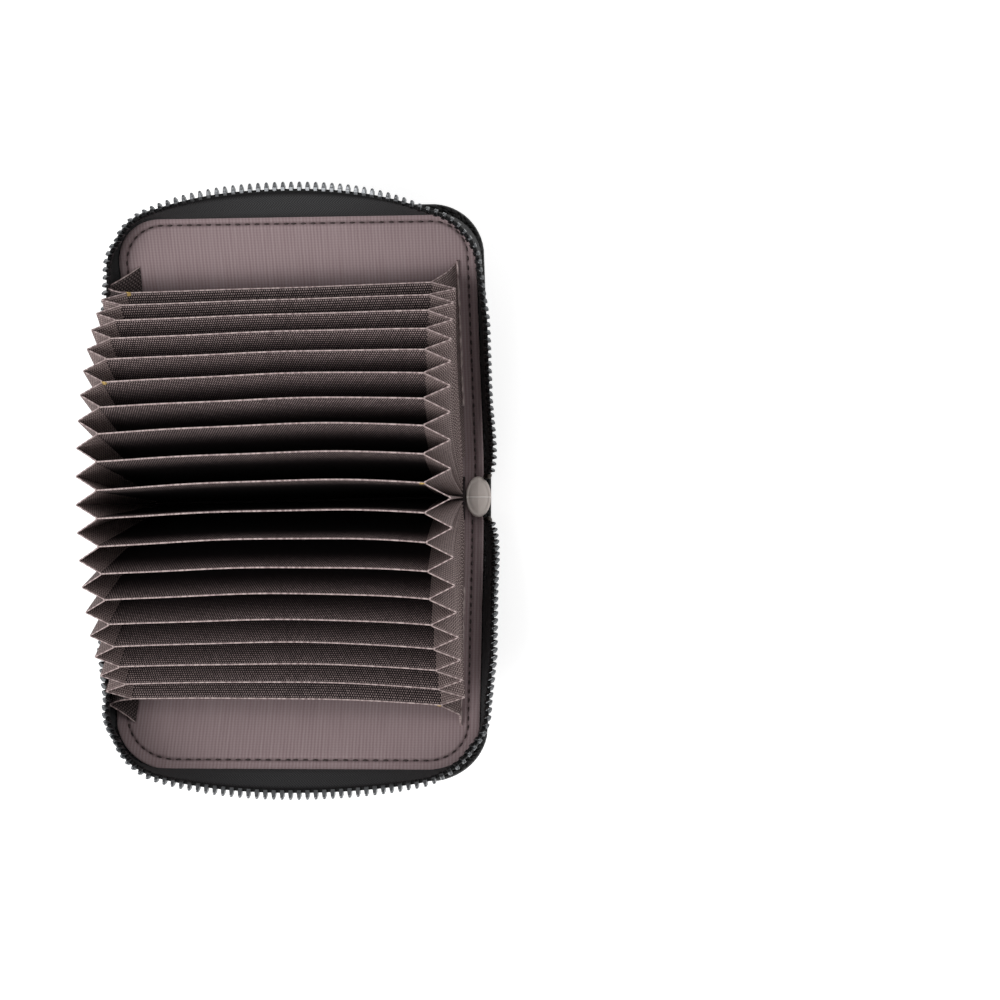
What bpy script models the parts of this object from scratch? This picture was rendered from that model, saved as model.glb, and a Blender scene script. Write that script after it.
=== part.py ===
"""Accordion card wallet: a zip-round leather cover on a fan of nineteen cloth leaves.

The wallet stands open on its spine. X runs along the spine, Y across it and Z up, with the
origin in the middle of the spine's outer face. The front cover is on the -Y side and the back
cover on the +Y side. The zip's slider is at -X and the round end tab at +X.
"""
import math

import bmesh
import bpy
from mathutils import Vector

MM = 0.001

# Covers and spine
COVER_LENGTH = 112 * MM
COVER_REACH = 80 * MM
COVER_CORNER = 9 * MM
SHEET = 3 * MM
LEATHER = 1 * MM
RIM_WIDTH = 2.2 * MM
RIM_DROP = 0.4 * MM
BOARD = 0.8 * MM
LINING = 0.5 * MM
GAP = 0.3 * MM
CLOSED_THICKNESS = 29 * MM
OPEN_ANGLE = math.radians(62)
LINING_EDGE = 2.6 * MM

# Accordion
LEAF_COUNT = 19
LEAF_WIDTH = 88 * MM
LEAF_DEPTH = 62 * MM
LEAF_THICKNESS = 0.6 * MM
LEAF_PITCH = 1.1 * MM
LEAF_TURN = math.radians(6.3)
LEAF_OFFSET = -3 * MM
LEAF_START = 0.4 * MM
FOOT_HEIGHT = 9.4 * MM
BINDING_DROP = 0.9 * MM
BINDING_HALF_WIDTH = 6.7 * MM
GUSSET_REACH = 7.5 * MM
GUSSET_START = 8 * MM
GUSSET_SHEET = 1.2 * MM

# Zip
TOOTH_PITCH = 2.4 * MM
TOOTH_DEPTH = 1.6 * MM
TOOTH_HALF_THICKNESS = 1 * MM
CORD_DEPTH = 0.5 * MM
CORD_HALF_THICKNESS = 0.6 * MM
TAPE = 0.5 * MM
TAPE_HEIGHT = 8.2 * MM
TAPE_RISE = 1.3 * MM
TAPE_INSET_SIDE = 0.8 * MM
TAPE_INSET_LONG = 1.8 * MM
TAPE_CORNER = 8.2 * MM
TAPE_START = {-1: 24 * MM, 1: 12 * MM}
FLAP_HALF_LENGTH = 44 * MM
SIDE_LEAN = math.radians(9)
CORNER_LEAN = math.radians(-19)
CORNER_EASE = 14 * MM
FLAP_END_LEAN = math.radians(26)
FLAP_MIDDLE_LEAN = math.radians(72)
END_TAB_RADIUS = 4.1 * MM
END_TAB_X = 52.9 * MM

# Slider and pull
SLIDER_BOTTOM = 8 * MM
SLIDER_LENGTH = 8.5 * MM
SLIDER_WIDTH = 7 * MM
SLIDER_FACE_X = -59.0 * MM
SLIDER_BACK_X = -54.6 * MM
SLIDER_PLATE = 0.9 * MM
CROWN_RISE = 2.9 * MM
CROWN_STRAP = 0.8 * MM
CROWN_WIDTH = 2.2 * MM
WIRE = 1.5 * MM
RING_HEIGHT = 8.2 * MM
RING_WIDTH = 4.8 * MM
RING_TOP = 11.8 * MM
PULL_LENGTH = 30 * MM
PULL_THICKNESS = 1.3 * MM
PULL_YAW = math.radians(8)
PULL_PITCH = math.radians(10.6)

# Worked out from the values above
HALF_LENGTH = COVER_LENGTH / 2
HINGE_Y = (CLOSED_THICKNESS - SHEET) / 2
HINGE_Z = SHEET / 2
SPINE_HALF_WIDTH = HINGE_Y - SHEET / 2 - GAP
RIM_TOP = SHEET / 2 - RIM_DROP
LIFT = math.pi / 2 - OPEN_ANGLE
MIDDLE = (LEAF_COUNT + 1) // 2
TAPE_BASE = RIM_TOP + TAPE_RISE
TAPE_LINE = HALF_LENGTH - TAPE_INSET_SIDE
FLAP_LINE = COVER_REACH - TAPE_INSET_LONG
SIDES = {"front": -1, "back": 1}


def clear_scene():
    for item in list(bpy.data.objects):
        bpy.data.objects.remove(item, do_unlink=True)


def new_collection(name):
    collection = bpy.data.collections.new(name)
    bpy.context.scene.collection.children.link(collection)
    return collection


def linear(value):
    return value / 12.92 if value <= 0.04045 else ((value + 0.055) / 1.055) ** 2.4


def make_material(name, hex_colour, roughness, metallic=0.0):
    material = bpy.data.materials.new(name)
    material.use_nodes = True
    shader = material.node_tree.nodes["Principled BSDF"]
    channels = [int(hex_colour[i:i + 2], 16) / 255 for i in (1, 3, 5)]
    shader.inputs["Base Color"].default_value = [linear(c) for c in channels] + [1]
    shader.inputs["Roughness"].default_value = roughness
    shader.inputs["Metallic"].default_value = metallic
    return material


def place(name, mesh, material, parent=None, collection=None):
    item = bpy.data.objects.new(name, mesh)
    (collection or PARTS).objects.link(item)
    if material:
        mesh.materials.clear()
        mesh.materials.append(material)
    if parent:
        item.parent = parent
    return item


def mesh_from(bm, name):
    bmesh.ops.recalc_face_normals(bm, faces=bm.faces)
    mesh = bpy.data.meshes.new(name)
    bm.to_mesh(mesh)
    bm.free()
    return mesh


def box(name, low, high, material, parent=None, bevel=0.0, collection=None):
    """A box between two corners, with its edges rounded where bevel says so."""
    bm = bmesh.new()
    bmesh.ops.create_cube(bm, size=1)
    low = Vector(low)
    high = Vector(high)
    bmesh.ops.scale(bm, vec=high - low, verts=bm.verts)
    bmesh.ops.translate(bm, vec=(low + high) / 2, verts=bm.verts)
    if bevel:
        bmesh.ops.bevel(bm, geom=bm.edges[:], offset=bevel, segments=1, profile=0.5, affect="EDGES")
    return place(name, mesh_from(bm, name), material, parent, collection)


def prism(name, outline, low_x, high_x, material, parent=None, corners=(), radius=0.0, collection=None):
    """An outline in Y and Z drawn out along X, with upright edges near the corners rounded."""
    bm = bmesh.new()
    base = bm.faces.new([bm.verts.new((low_x, y, z)) for y, z in outline])
    drawn = bmesh.ops.extrude_face_region(bm, geom=[base])["geom"]
    moved = [v for v in drawn if isinstance(v, bmesh.types.BMVert)]
    bmesh.ops.translate(bm, vec=(high_x - low_x, 0, 0), verts=moved)
    if radius:
        picked = [
            edge for edge in bm.edges
            if all(any(abs(v.co.y - y) < 0.1 * MM for y in corners) for v in edge.verts)
            and abs(edge.verts[0].co.x - edge.verts[1].co.x) < 0.1 * MM
        ]
        bmesh.ops.bevel(bm, geom=picked, offset=radius, segments=6, profile=0.5, affect="EDGES")
    return place(name, mesh_from(bm, name), material, parent, collection)


def loft(name, sections, material, parent=None):
    """A solid through a row of sections with the same number of corners, closed at both ends."""
    bm = bmesh.new()
    rings = [[bm.verts.new(point) for point in section] for section in sections]
    for here, there in zip(rings, rings[1:]):
        for i in range(len(here)):
            j = (i + 1) % len(here)
            bm.faces.new((here[i], here[j], there[j], there[i]))
    bm.faces.new(rings[0])
    bm.faces.new(rings[-1])
    return place(name, mesh_from(bm, name), material, parent)


def cut(item, cutter):
    modifier = item.modifiers.new("Cut", "BOOLEAN")
    modifier.operation = "DIFFERENCE"
    modifier.solver = "EXACT"
    modifier.object = cutter


def hide_cutter(cutter):
    cutter.hide_render = True
    cutter.display_type = "WIRE"
    return cutter


def frame_at(name, location, turn_x):
    frame = bpy.data.objects.new(name, None)
    frame.location = location
    frame.rotation_euler = (turn_x, 0, 0)
    PARTS.objects.link(frame)
    return frame


def arc(centre_y, centre_z, radius, start, end, steps):
    angles = [start + (end - start) * i / steps for i in range(steps + 1)]
    return [(centre_y + radius * math.cos(a), centre_z + radius * math.sin(a)) for a in angles]


def leaf_turn(number):
    return (number - MIDDLE) * LEAF_TURN


def leaf_foot(number):
    """The line that a leaf turns on. Each leaf turns on the one nearer the middle."""
    steps = abs(number - MIDDLE)
    out = 1 if number > MIDDLE else -1
    y = sum(LEAF_PITCH * math.cos(i * LEAF_TURN) for i in range(steps))
    z = sum(LEAF_PITCH * math.sin(i * LEAF_TURN) for i in range(steps))
    return Vector((0, out * y, FOOT_HEIGHT - z))


def leaf_point(number, reach):
    turn = leaf_turn(number)
    return leaf_foot(number) + reach * Vector((0, math.sin(turn), math.cos(turn)))


def cover_point(side, reach, height):
    """A point of the open cover, by its distance from the hinge and above its middle plane."""
    out = HINGE_Y + reach * math.cos(LIFT) - height * math.sin(LIFT)
    up = HINGE_Z + reach * math.sin(LIFT) + height * math.cos(LIFT)
    return Vector((0, side * out, up))


def make_spine():
    rise = SHEET - RIM_DROP
    leather = box("spine_leather", (-HALF_LENGTH, -SPINE_HALF_WIDTH, 0),
                  (HALF_LENGTH, SPINE_HALF_WIDTH, rise), LEATHER_BLACK)
    inside = HALF_LENGTH - RIM_WIDTH
    cutter = box("spine_pocket", (-inside, -2 * SPINE_HALF_WIDTH, LEATHER),
                 (inside, 2 * SPINE_HALF_WIDTH, 2 * rise), None, collection=CUTTERS)
    cut(leather, hide_cutter(cutter))
    across = SPINE_HALF_WIDTH - GAP
    along = inside - GAP
    board_low = LEATHER + GAP
    box("spine_board", (-along, -across, board_low), (along, across, board_low + BOARD), BOARD_GREY)
    lining_low = board_low + BOARD + GAP / 2
    box("spine_lining", (-along, -across, lining_low), (along, across, lining_low + LINING), LINING_MAUVE)


def make_binding():
    foot_radius = LEAF_PITCH / LEAF_TURN
    centre_z = FOOT_HEIGHT - foot_radius
    radius = foot_radius - BINDING_DROP
    reach = math.asin(BINDING_HALF_WIDTH / radius)
    outline = arc(0, centre_z, radius, math.pi / 2 - reach, math.pi / 2 + reach, 12)
    bottom = SHEET + GAP
    outline += [(-BINDING_HALF_WIDTH, bottom), (BINDING_HALF_WIDTH, bottom)]
    half = LEAF_WIDTH / 2 - 2 * GAP
    prism("accordion_binding", outline, LEAF_OFFSET - half, LEAF_OFFSET + half, LEAF_BROWN)


def make_leaves():
    half = LEAF_WIDTH / 2
    thick = LEAF_THICKNESS / 2
    for number in range(1, LEAF_COUNT + 1):
        leaf = box(f"leaf_{number:02d}", (LEAF_OFFSET - half, -thick, LEAF_START),
                   (LEAF_OFFSET + half, thick, LEAF_DEPTH), LEAF_BROWN, bevel=0.15 * MM)
        leaf.location = leaf_foot(number)
        leaf.rotation_euler = (-leaf_turn(number), 0, 0)


def make_gusset(name, end):
    """The pleated strip along one end of the leaves. end is -1 at the slider, 1 at the end tab."""
    valley = LEAF_OFFSET + end * (LEAF_WIDTH / 2 + GAP + GUSSET_SHEET)
    peak = LEAF_OFFSET + end * (LEAF_WIDTH / 2 + GUSSET_REACH)
    sections = []
    for reach in (GUSSET_START, (GUSSET_START + LEAF_DEPTH) / 2, LEAF_DEPTH):
        on_cover = [cover_point(side, reach + 1 * MM, SHEET / 2 + GAP) for side in (-1, 1)]
        folds = [leaf_point(number, reach) for number in range(1, LEAF_COUNT + 1)]
        folds = [on_cover[0]] + folds + [on_cover[1]]
        outer = [folds[0] + Vector((valley, 0, 0))]
        for here, there in zip(folds, folds[1:]):
            outer.append((here + there) / 2 + Vector((peak, 0, 0)))
            outer.append(there + Vector((valley, 0, 0)))
        inner = [point - Vector((end * GUSSET_SHEET, 0, 0)) for point in outer]
        sections.append(outer + inner[::-1])
    bm = bmesh.new()
    rings = [[bm.verts.new(point) for point in section] for section in sections]
    count = len(rings[0])
    for here, there in zip(rings, rings[1:]):
        for i in range(count):
            j = (i + 1) % count
            bm.faces.new((here[i], here[j], there[j], there[i]))
    for ring in (rings[0], rings[-1]):
        for i in range(count // 2 - 1):
            bm.faces.new((ring[i], ring[i + 1], ring[count - 2 - i], ring[count - 1 - i]))
    place(name, mesh_from(bm, name), GUSSET_MAUVE)


def make_cover(which, side):
    frame = frame_at(f"{which}_cover_hinge", (0, side * HINGE_Y, HINGE_Z), side * LIFT)
    half = SHEET / 2
    fold = arc(0, 0, half, -math.pi / 2, -3 * math.pi / 2, 8)
    outline = [(COVER_REACH, -half)] + fold + [(LEATHER, half), (LEATHER + RIM_DROP, RIM_TOP)]
    outline.append((COVER_REACH, RIM_TOP))
    outline = [(side * y, z) for y, z in outline]
    leather = prism(f"{which}_cover_leather", outline, -HALF_LENGTH, HALF_LENGTH, LEATHER_BLACK, frame,
                    (side * COVER_REACH,), COVER_CORNER)
    inside = HALF_LENGTH - RIM_WIDTH
    start = half + GAP
    floor = LEATHER - half
    pocket = [(start, floor), (COVER_REACH - RIM_WIDTH, floor), (COVER_REACH - RIM_WIDTH, 2 * half)]
    pocket = [(side * y, z) for y, z in pocket + [(start, 2 * half)]]
    corner = (side * (COVER_REACH - RIM_WIDTH),)
    cutter = prism(f"{which}_cover_pocket", pocket, -inside, inside, None, frame, corner,
                   COVER_CORNER - RIM_WIDTH, CUTTERS)
    cut(leather, hide_cutter(cutter))

    def layer(name, low, thickness, inset, reach, material):
        first = start + GAP
        flat = [(first, low), (reach, low), (reach, low + thickness), (first, low + thickness)]
        flat = [(side * y, z) for y, z in flat]
        along = HALF_LENGTH - inset
        prism(name, flat, -along, along, material, frame, (side * reach,), COVER_CORNER - inset)

    board_low = floor + GAP
    layer(f"{which}_cover_board", board_low, BOARD, RIM_WIDTH + GAP, COVER_REACH - RIM_WIDTH - GAP, BOARD_GREY)
    lining_low = board_low + BOARD + GAP
    layer(f"{which}_cover_lining", lining_low, LINING, LINING_EDGE, COVER_REACH - LINING_EDGE, LINING_MAUVE)
    for end in (-1, 1):
        make_side_zip(which, side, end, frame)
    make_flap(which, side, frame)


def ease(value):
    value = min(max(value, 0.0), 1.0)
    return value * value * (3 - 2 * value)


def zip_station(side, end, run):
    """Where the tape's foot is after a run up the short side, and which way its wall leans out."""
    straight = FLAP_LINE - TAPE_CORNER - TAPE_START[end]
    bend = TAPE_CORNER * math.pi / 2
    if run <= straight:
        foot = (TAPE_LINE, TAPE_START[end] + run)
        turn = 0.0
    elif run <= straight + bend:
        turn = (run - straight) / TAPE_CORNER
        foot = (TAPE_LINE - TAPE_CORNER + TAPE_CORNER * math.cos(turn),
                FLAP_LINE - TAPE_CORNER + TAPE_CORNER * math.sin(turn))
    else:
        turn = math.pi / 2
        foot = (TAPE_LINE - TAPE_CORNER - (run - straight - bend), FLAP_LINE)
    corner = straight + bend / 2
    if run < corner:
        lean = SIDE_LEAN + (CORNER_LEAN - SIDE_LEAN) * ease(1 - (corner - run) / CORNER_EASE)
    else:
        lean = CORNER_LEAN + (FLAP_END_LEAN - CORNER_LEAN) * ease((run - corner) / (bend / 2))
    point = Vector((end * foot[0], side * foot[1], TAPE_BASE))
    outward = Vector((end * math.cos(turn), side * math.sin(turn), 0))
    return point, outward, lean


def wall_point(station, height, depth):
    point, outward, lean = station
    up = Vector((0, 0, 1))
    along_wall = outward * math.sin(lean) + up * math.cos(lean)
    through_wall = outward * math.cos(lean) - up * math.sin(lean)
    return point + along_wall * height + through_wall * depth


def wall_section(station, low, high, half_thickness):
    corners = ((low, -half_thickness), (low, half_thickness), (high, half_thickness), (high, -half_thickness))
    return [wall_point(station, height, depth) for height, depth in corners]


def tooth_row(station_at, length):
    """Sections of a row of teeth on their cord. Each tooth is a step in the section."""
    count = int(length // TOOTH_PITCH)
    first = (length - (count - 1) * TOOTH_PITCH) / 2
    low = TAPE_HEIGHT + GAP
    sections = [wall_section(station_at(0), low, low + CORD_DEPTH, CORD_HALF_THICKNESS)]
    for i in range(count):
        middle = first + i * TOOTH_PITCH
        for step, tall in ((-0.32, False), (-0.22, True), (0.22, True), (0.32, False)):
            station = station_at(middle + step * TOOTH_PITCH)
            high = low + (TOOTH_DEPTH if tall else CORD_DEPTH)
            thick = TOOTH_HALF_THICKNESS if tall else CORD_HALF_THICKNESS
            sections.append(wall_section(station, low, high, thick))
    sections.append(wall_section(station_at(length), low, low + CORD_DEPTH, CORD_HALF_THICKNESS))
    return sections


def make_side_zip(which, side, end, frame):
    """Tape and teeth up one short side and round the corner."""
    place_name = "slider_side" if end < 0 else "tab_side"
    straight = FLAP_LINE - TAPE_CORNER - TAPE_START[end]
    bend = TAPE_CORNER * math.pi / 2
    last = TAPE_LINE - TAPE_CORNER - FLAP_HALF_LENGTH - GAP
    easing = [straight - CORNER_EASE * (1 - i / 4) for i in range(5)]
    runs = [0] + easing + [straight + bend * i / 8 for i in range(1, 9)] + [straight + bend + last]
    walls = [wall_section(zip_station(side, end, run), TAPE / 2, TAPE_HEIGHT, TAPE / 2) for run in runs]
    loft(f"{which}_zip_tape_{place_name}", walls, TAPE_BLACK, frame)

    def station_at(run):
        return zip_station(side, end, run)

    loft(f"{which}_zip_teeth_{place_name}", tooth_row(station_at, runs[-1]), TEETH_GREY, frame)


def make_flap(which, side, frame):
    """Tape and teeth along the long edge, which turn on the cover's edge as the cover closes."""
    length = 2 * FLAP_HALF_LENGTH

    def station_at(run):
        x = run - FLAP_HALF_LENGTH
        flare = 1 - (x / FLAP_HALF_LENGTH) ** 2
        lean = FLAP_END_LEAN + (FLAP_MIDDLE_LEAN - FLAP_END_LEAN) * flare
        return Vector((x, side * FLAP_LINE, TAPE_BASE)), Vector((0, side, 0)), lean

    steps = 16
    walls = [wall_section(station_at(length * i / steps), TAPE / 2, TAPE_HEIGHT, TAPE / 2) for i in range(steps + 1)]
    loft(f"{which}_zip_flap_tape", walls, TAPE_BLACK, frame)
    loft(f"{which}_zip_flap_teeth", tooth_row(station_at, length), TEETH_GREY, frame)


def make_zip_ends():
    """The ends of the tapes on the spine, with the stops and the round end tab."""
    rest = SHEET
    strip = 2 * GAP
    outer = HALF_LENGTH + 1 * MM
    inner = HALF_LENGTH - RIM_WIDTH + GAP
    half = 9 * MM
    box("zip_head_tape", (inner, -half, rest), (outer, half, rest + strip), TAPE_BLACK)
    box("zip_tail_tape", (-outer, -half, rest), (-inner, half, rest + strip), TAPE_BLACK)
    on_tape = rest + strip + GAP
    chain_x = (-57.2 * MM, -55.8 * MM)
    chain_half = 1.7 * MM
    box("zip_tail_chain", (chain_x[0], -chain_half, on_tape), (chain_x[1], chain_half, 6 * MM), TEETH_GREY)
    box("bottom_stop", (chain_x[0], -chain_half - GAP, 6 * MM + GAP),
        (chain_x[1], chain_half + GAP, SLIDER_BOTTOM - GAP), GUNMETAL, bevel=0.2 * MM)
    stop_x = (54.6 * MM, 56.4 * MM)
    near = END_TAB_RADIUS + GAP
    for which, side in SIDES.items():
        reach = sorted((side * near, side * (near + 2.2 * MM)))
        box(f"top_stop_{which}", (stop_x[0], reach[0], on_tape), (stop_x[1], reach[1], on_tape + 1.3 * MM),
            GUNMETAL, bevel=0.2 * MM)
    height = 2 * MM
    bpy.ops.mesh.primitive_cylinder_add(vertices=32, radius=END_TAB_RADIUS, depth=height)
    tab = bpy.context.object
    mesh = tab.data
    bpy.data.objects.remove(tab, do_unlink=True)
    tab = place("zip_end_tab", mesh, TAB_TAUPE)
    tab.location = (END_TAB_X, 0, on_tape + height / 2)
    rounding = tab.modifiers.new("Round", "BEVEL")
    rounding.width = 0.5 * MM
    rounding.segments = 2


def make_slider():
    top = SLIDER_BOTTOM + SLIDER_LENGTH
    half = SLIDER_WIDTH / 2
    waist = 0.78 * half
    outline = [(-waist, SLIDER_BOTTOM), (waist, SLIDER_BOTTOM), (half, top - 2.5 * MM),
               (0.7 * half, top), (-0.7 * half, top), (-half, top - 2.5 * MM)]
    body = prism("slider_body", outline, SLIDER_FACE_X, SLIDER_BACK_X, GUNMETAL)
    inner_face = SLIDER_FACE_X + SLIDER_PLATE
    inner_back = SLIDER_BACK_X - SLIDER_PLATE
    channel_half = 1.8 * MM
    low = SLIDER_BOTTOM - MM
    post_bottom = top - 3.6 * MM
    channel = box("slider_channel", (inner_face, -channel_half, low), (inner_back, channel_half, post_bottom),
                  None, collection=CUTTERS)
    cut(body, hide_cutter(channel))
    post_half = 0.9 * MM
    for name, side in SIDES.items():
        reach = sorted((side * post_half, side * (half - 0.7 * MM)))
        throat = box(f"slider_throat_{name}", (inner_face, reach[0], post_bottom - 1.5 * MM),
                     (inner_back, reach[1], top + MM), None, collection=CUTTERS)
        cut(body, hide_cutter(throat))
        slit_half = 0.8 * MM
        middle = (inner_face + inner_back) / 2
        reach = sorted((side * (post_half + GAP), side * (half + MM)))
        slit = box(f"slider_slit_{name}", (middle - slit_half, reach[0], low),
                   (middle + slit_half, reach[1], top + 1.5 * MM), None, collection=CUTTERS)
        cut(body, hide_cutter(slit))


def make_crown():
    """The arched strap on the slider's face that the ring runs through."""
    face = SLIDER_FACE_X - 0.1 * MM
    low = SLIDER_BOTTOM + 1 * MM
    high = low + 6.6 * MM
    rise = CROWN_RISE
    slope = 1.4 * MM
    t = CROWN_STRAP
    side_view = [(low, 0), (low + slope, rise - 0.4 * MM), (low + slope + 0.8 * MM, rise),
                 (high - slope - 0.8 * MM, rise), (high - slope, rise - 0.4 * MM), (high, 0),
                 (high - t, 0), (high - slope - t, rise - t), (low + slope + t, rise - t), (low + t, 0)]
    bm = bmesh.new()
    half = CROWN_WIDTH / 2
    base = bm.faces.new([bm.verts.new((face - out, -half, z)) for z, out in side_view])
    drawn = bmesh.ops.extrude_face_region(bm, geom=[base])["geom"]
    bmesh.ops.translate(bm, vec=(0, 2 * half, 0), verts=[v for v in drawn if isinstance(v, bmesh.types.BMVert)])
    place("slider_crown", mesh_from(bm, "slider_crown"), GUNMETAL)


def wire_loop(name, points, radius, material):
    data = bpy.data.curves.new(name, "CURVE")
    data.dimensions = "3D"
    data.bevel_depth = radius
    data.bevel_resolution = 2
    spline = data.splines.new("POLY")
    spline.points.add(len(points) - 1)
    for point, place_ in zip(spline.points, points):
        point.co = (*place_, 1)
    spline.use_cyclic_u = True
    data.materials.append(material)
    item = bpy.data.objects.new(name, data)
    PARTS.objects.link(item)
    return item


RING_X = SLIDER_FACE_X - 0.1 * MM - (CROWN_RISE - CROWN_STRAP) / 2


def make_ring():
    """An oval wire loop that hangs through the crown, in the plane across the slider."""
    steps = 28
    radius = RING_WIDTH / 2
    straight = RING_HEIGHT - RING_WIDTH
    points = []
    for i in range(steps):
        angle = 2 * math.pi * i / steps
        z = radius * math.sin(angle) + math.copysign(straight / 2, math.sin(angle + 1e-6))
        points.append((0, radius * math.cos(angle), z - RING_HEIGHT / 2))
    ring = wire_loop("pull_ring", points, WIRE / 2, GUNMETAL)
    ring.location = (RING_X, 0, RING_TOP)


def outline_curve(name, loops, half_depth, material):
    data = bpy.data.curves.new(name, "CURVE")
    data.dimensions = "2D"
    data.fill_mode = "BOTH"
    data.extrude = half_depth
    for loop in loops:
        spline = data.splines.new("POLY")
        spline.points.add(len(loop) - 1)
        for point, (x, y) in zip(spline.points, loop):
            point.co = (x, y, 0, 1)
        spline.use_cyclic_u = True
    data.materials.append(material)
    item = bpy.data.objects.new(name, data)
    PARTS.objects.link(item)
    return item


def make_pull():
    """The tab lies beside the wallet, from the ring down to the surface that it stands on."""
    top_radius = 2.8 * MM
    end_half_width = 4.2 * MM
    end_half_length = 5.2 * MM
    slot_half = (1.75 * MM, 2.4 * MM)
    hole_half = (2.1 * MM, 3.1 * MM)
    eye_to_end = PULL_LENGTH - top_radius - end_half_length - 0.4 * MM
    outline = arc(0, 0, top_radius, math.radians(190), math.radians(350), 8)
    outline += [(end_half_width * math.cos(a), eye_to_end + end_half_length * math.sin(a))
                for a in [math.radians(-12 + 204 * i / 16) for i in range(17)]]
    slot = [(slot_half[0] * math.cos(a), slot_half[1] * math.sin(a))
            for a in [2 * math.pi * i / 16 for i in range(16)]]
    hole = [(hole_half[0] * math.cos(a), eye_to_end + hole_half[1] * math.sin(a))
            for a in [2 * math.pi * i / 20 for i in range(20)]]
    tab = outline_curve("pull_tab", [outline, slot, hole], PULL_THICKNESS / 2, GUNMETAL)
    shift = slot_half[0] - WIRE / 2 - GAP
    tab.location = (RING_X - shift, RING_WIDTH / 2, 6.6 * MM)
    tab.rotation_euler = (-PULL_PITCH, 0, PULL_YAW)


def main():
    make_spine()
    make_binding()
    make_leaves()
    make_gusset("left_gusset", -1)
    make_gusset("right_gusset", 1)
    for which, side in SIDES.items():
        make_cover(which, side)
    make_zip_ends()
    make_slider()
    make_crown()
    make_ring()
    make_pull()


clear_scene()
PARTS = new_collection("accordion_card_wallet")
CUTTERS = new_collection("cutters")
LEATHER_BLACK = make_material("pebbled_leather", "#262627", 0.5)
LINING_MAUVE = make_material("lining_cloth", "#857375", 0.8)
LEAF_BROWN = make_material("leaf_cloth", "#3a2c2e", 0.75)
GUSSET_MAUVE = make_material("gusset_cloth", "#6f5d5f", 0.75)
TAPE_BLACK = make_material("zip_tape", "#2d2f2f", 0.85)
TEETH_GREY = make_material("zip_teeth", "#4a4d4f", 0.35)
GUNMETAL = make_material("gunmetal", "#45403d", 0.3, 1.0)
TAB_TAUPE = make_material("end_tab_cloth", "#8f8682", 0.8)
BOARD_GREY = make_material("stiffener_board", "#6b665f", 0.9)
main()
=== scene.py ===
"""The looks of the open accordion card wallet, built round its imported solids.

X runs along the spine, Y across it and Z up. The front cover is on the -Y side and the back cover
on the +Y side. A place on a cover is given by x, by s, the way along the leather from the middle
of the spine, and by h, the height above the middle of the leather and board.
"""
import math

import bmesh
import bpy
from mathutils import Matrix, Vector


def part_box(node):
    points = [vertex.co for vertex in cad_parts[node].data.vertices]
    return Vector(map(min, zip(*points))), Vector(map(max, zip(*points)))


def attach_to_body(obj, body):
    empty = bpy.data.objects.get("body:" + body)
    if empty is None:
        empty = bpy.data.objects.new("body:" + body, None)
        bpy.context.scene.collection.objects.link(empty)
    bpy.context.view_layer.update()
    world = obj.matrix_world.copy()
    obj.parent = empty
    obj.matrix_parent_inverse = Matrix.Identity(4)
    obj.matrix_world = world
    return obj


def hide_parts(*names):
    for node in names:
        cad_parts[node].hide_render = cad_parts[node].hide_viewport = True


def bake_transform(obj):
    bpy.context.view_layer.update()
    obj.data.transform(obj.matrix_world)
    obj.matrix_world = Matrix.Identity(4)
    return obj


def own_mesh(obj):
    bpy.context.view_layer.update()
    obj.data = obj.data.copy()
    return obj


MM = 0.001

# Covers and spine
HALF_LENGTH = 56 * MM
COVER_REACH = 80 * MM
HINGE_Y = 13 * MM
HINGE_Z = 1.5 * MM
LIFT = math.radians(28)
BEND_RADIUS = 8 * MM
LINING_EDGE = 2.3 * MM
STITCH_INSETS = {-1: 3.4 * MM, 1: 2.5 * MM}
COVER_SLIDE = {-1: 1.5 * MM, 1: 0.0}

# The radius of each cover's corners and of the zip tape's in them, by side and end. The open zip
# draws them in unevenly.
CORNERS = {(1, -1): 17 * MM, (1, 1): 15 * MM, (-1, -1): 22 * MM, (-1, 1): 17 * MM}
TAPE_CORNERS = {(1, -1): 15.2 * MM, (1, 1): 14.2 * MM, (-1, -1): 18.2 * MM, (-1, 1): 16.2 * MM}

# Accordion
LEAF_COUNT = 19
LEAF_WIDTH = 90.8 * MM
LEAF_DEPTH = 62 * MM
LEAF_THICKNESS = 0.45 * MM
LEAF_PITCH = 1.1 * MM
LEAF_TURN = math.radians(6.3)
LEAF_OFFSET = -2.3 * MM
FOOT_HEIGHT = 9.4 * MM
LEAF_BOW = 1.5 * MM
FAN_YAW = math.radians(0.93)
FAN_SHEAR = 0.006
FAN_ROLL = math.radians(1.66)
FAN_SPLAY = {-1: math.radians(2.0), 1: math.radians(0.3)}
FOOT_NARROWING = 0.04
HEM = 0.3 * MM
GUSSET_WIDTH = {-1: 15.7 * MM, 1: 15.9 * MM}
GUSSET_TAKE_IN = {-1: 0.12, 1: 0.0}
GUSSET_START = 0.5 * MM
GUSSET_THICKNESS = 0.3 * MM
PANEL_WIDTH = 12 * MM
PANEL_SEAM = 48 * MM

# Zip
TOOTH_PITCH = 2.4 * MM
TAPE_HEIGHT = 8.2 * MM
TOOTH_FLARE = math.radians(24)
TAPE_BASE = 2.4 * MM
TAPE_LINE = 55.2 * MM
FLAP_LINE = 78.2 * MM
CORNER_EASE = 16 * MM
FREE_TAPE = {-1: 26 * MM, 1: 24 * MM}

# How far the zip's wall leans out, in degrees, by side and end of the wallet. The five stand up the
# short side, where the corner starts, in the corner, where it ends, and in the middle of the long edge.
WALL_LEANS = {
    (1, -1): (13, -5, -6, 21, 66),
    (1, 1): (9, -2, -1, 15, 66),
    (-1, -1): (14, -10, -5, 34, 64),
    (-1, 1): (16, 8, 13, 40, 64),
}

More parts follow.
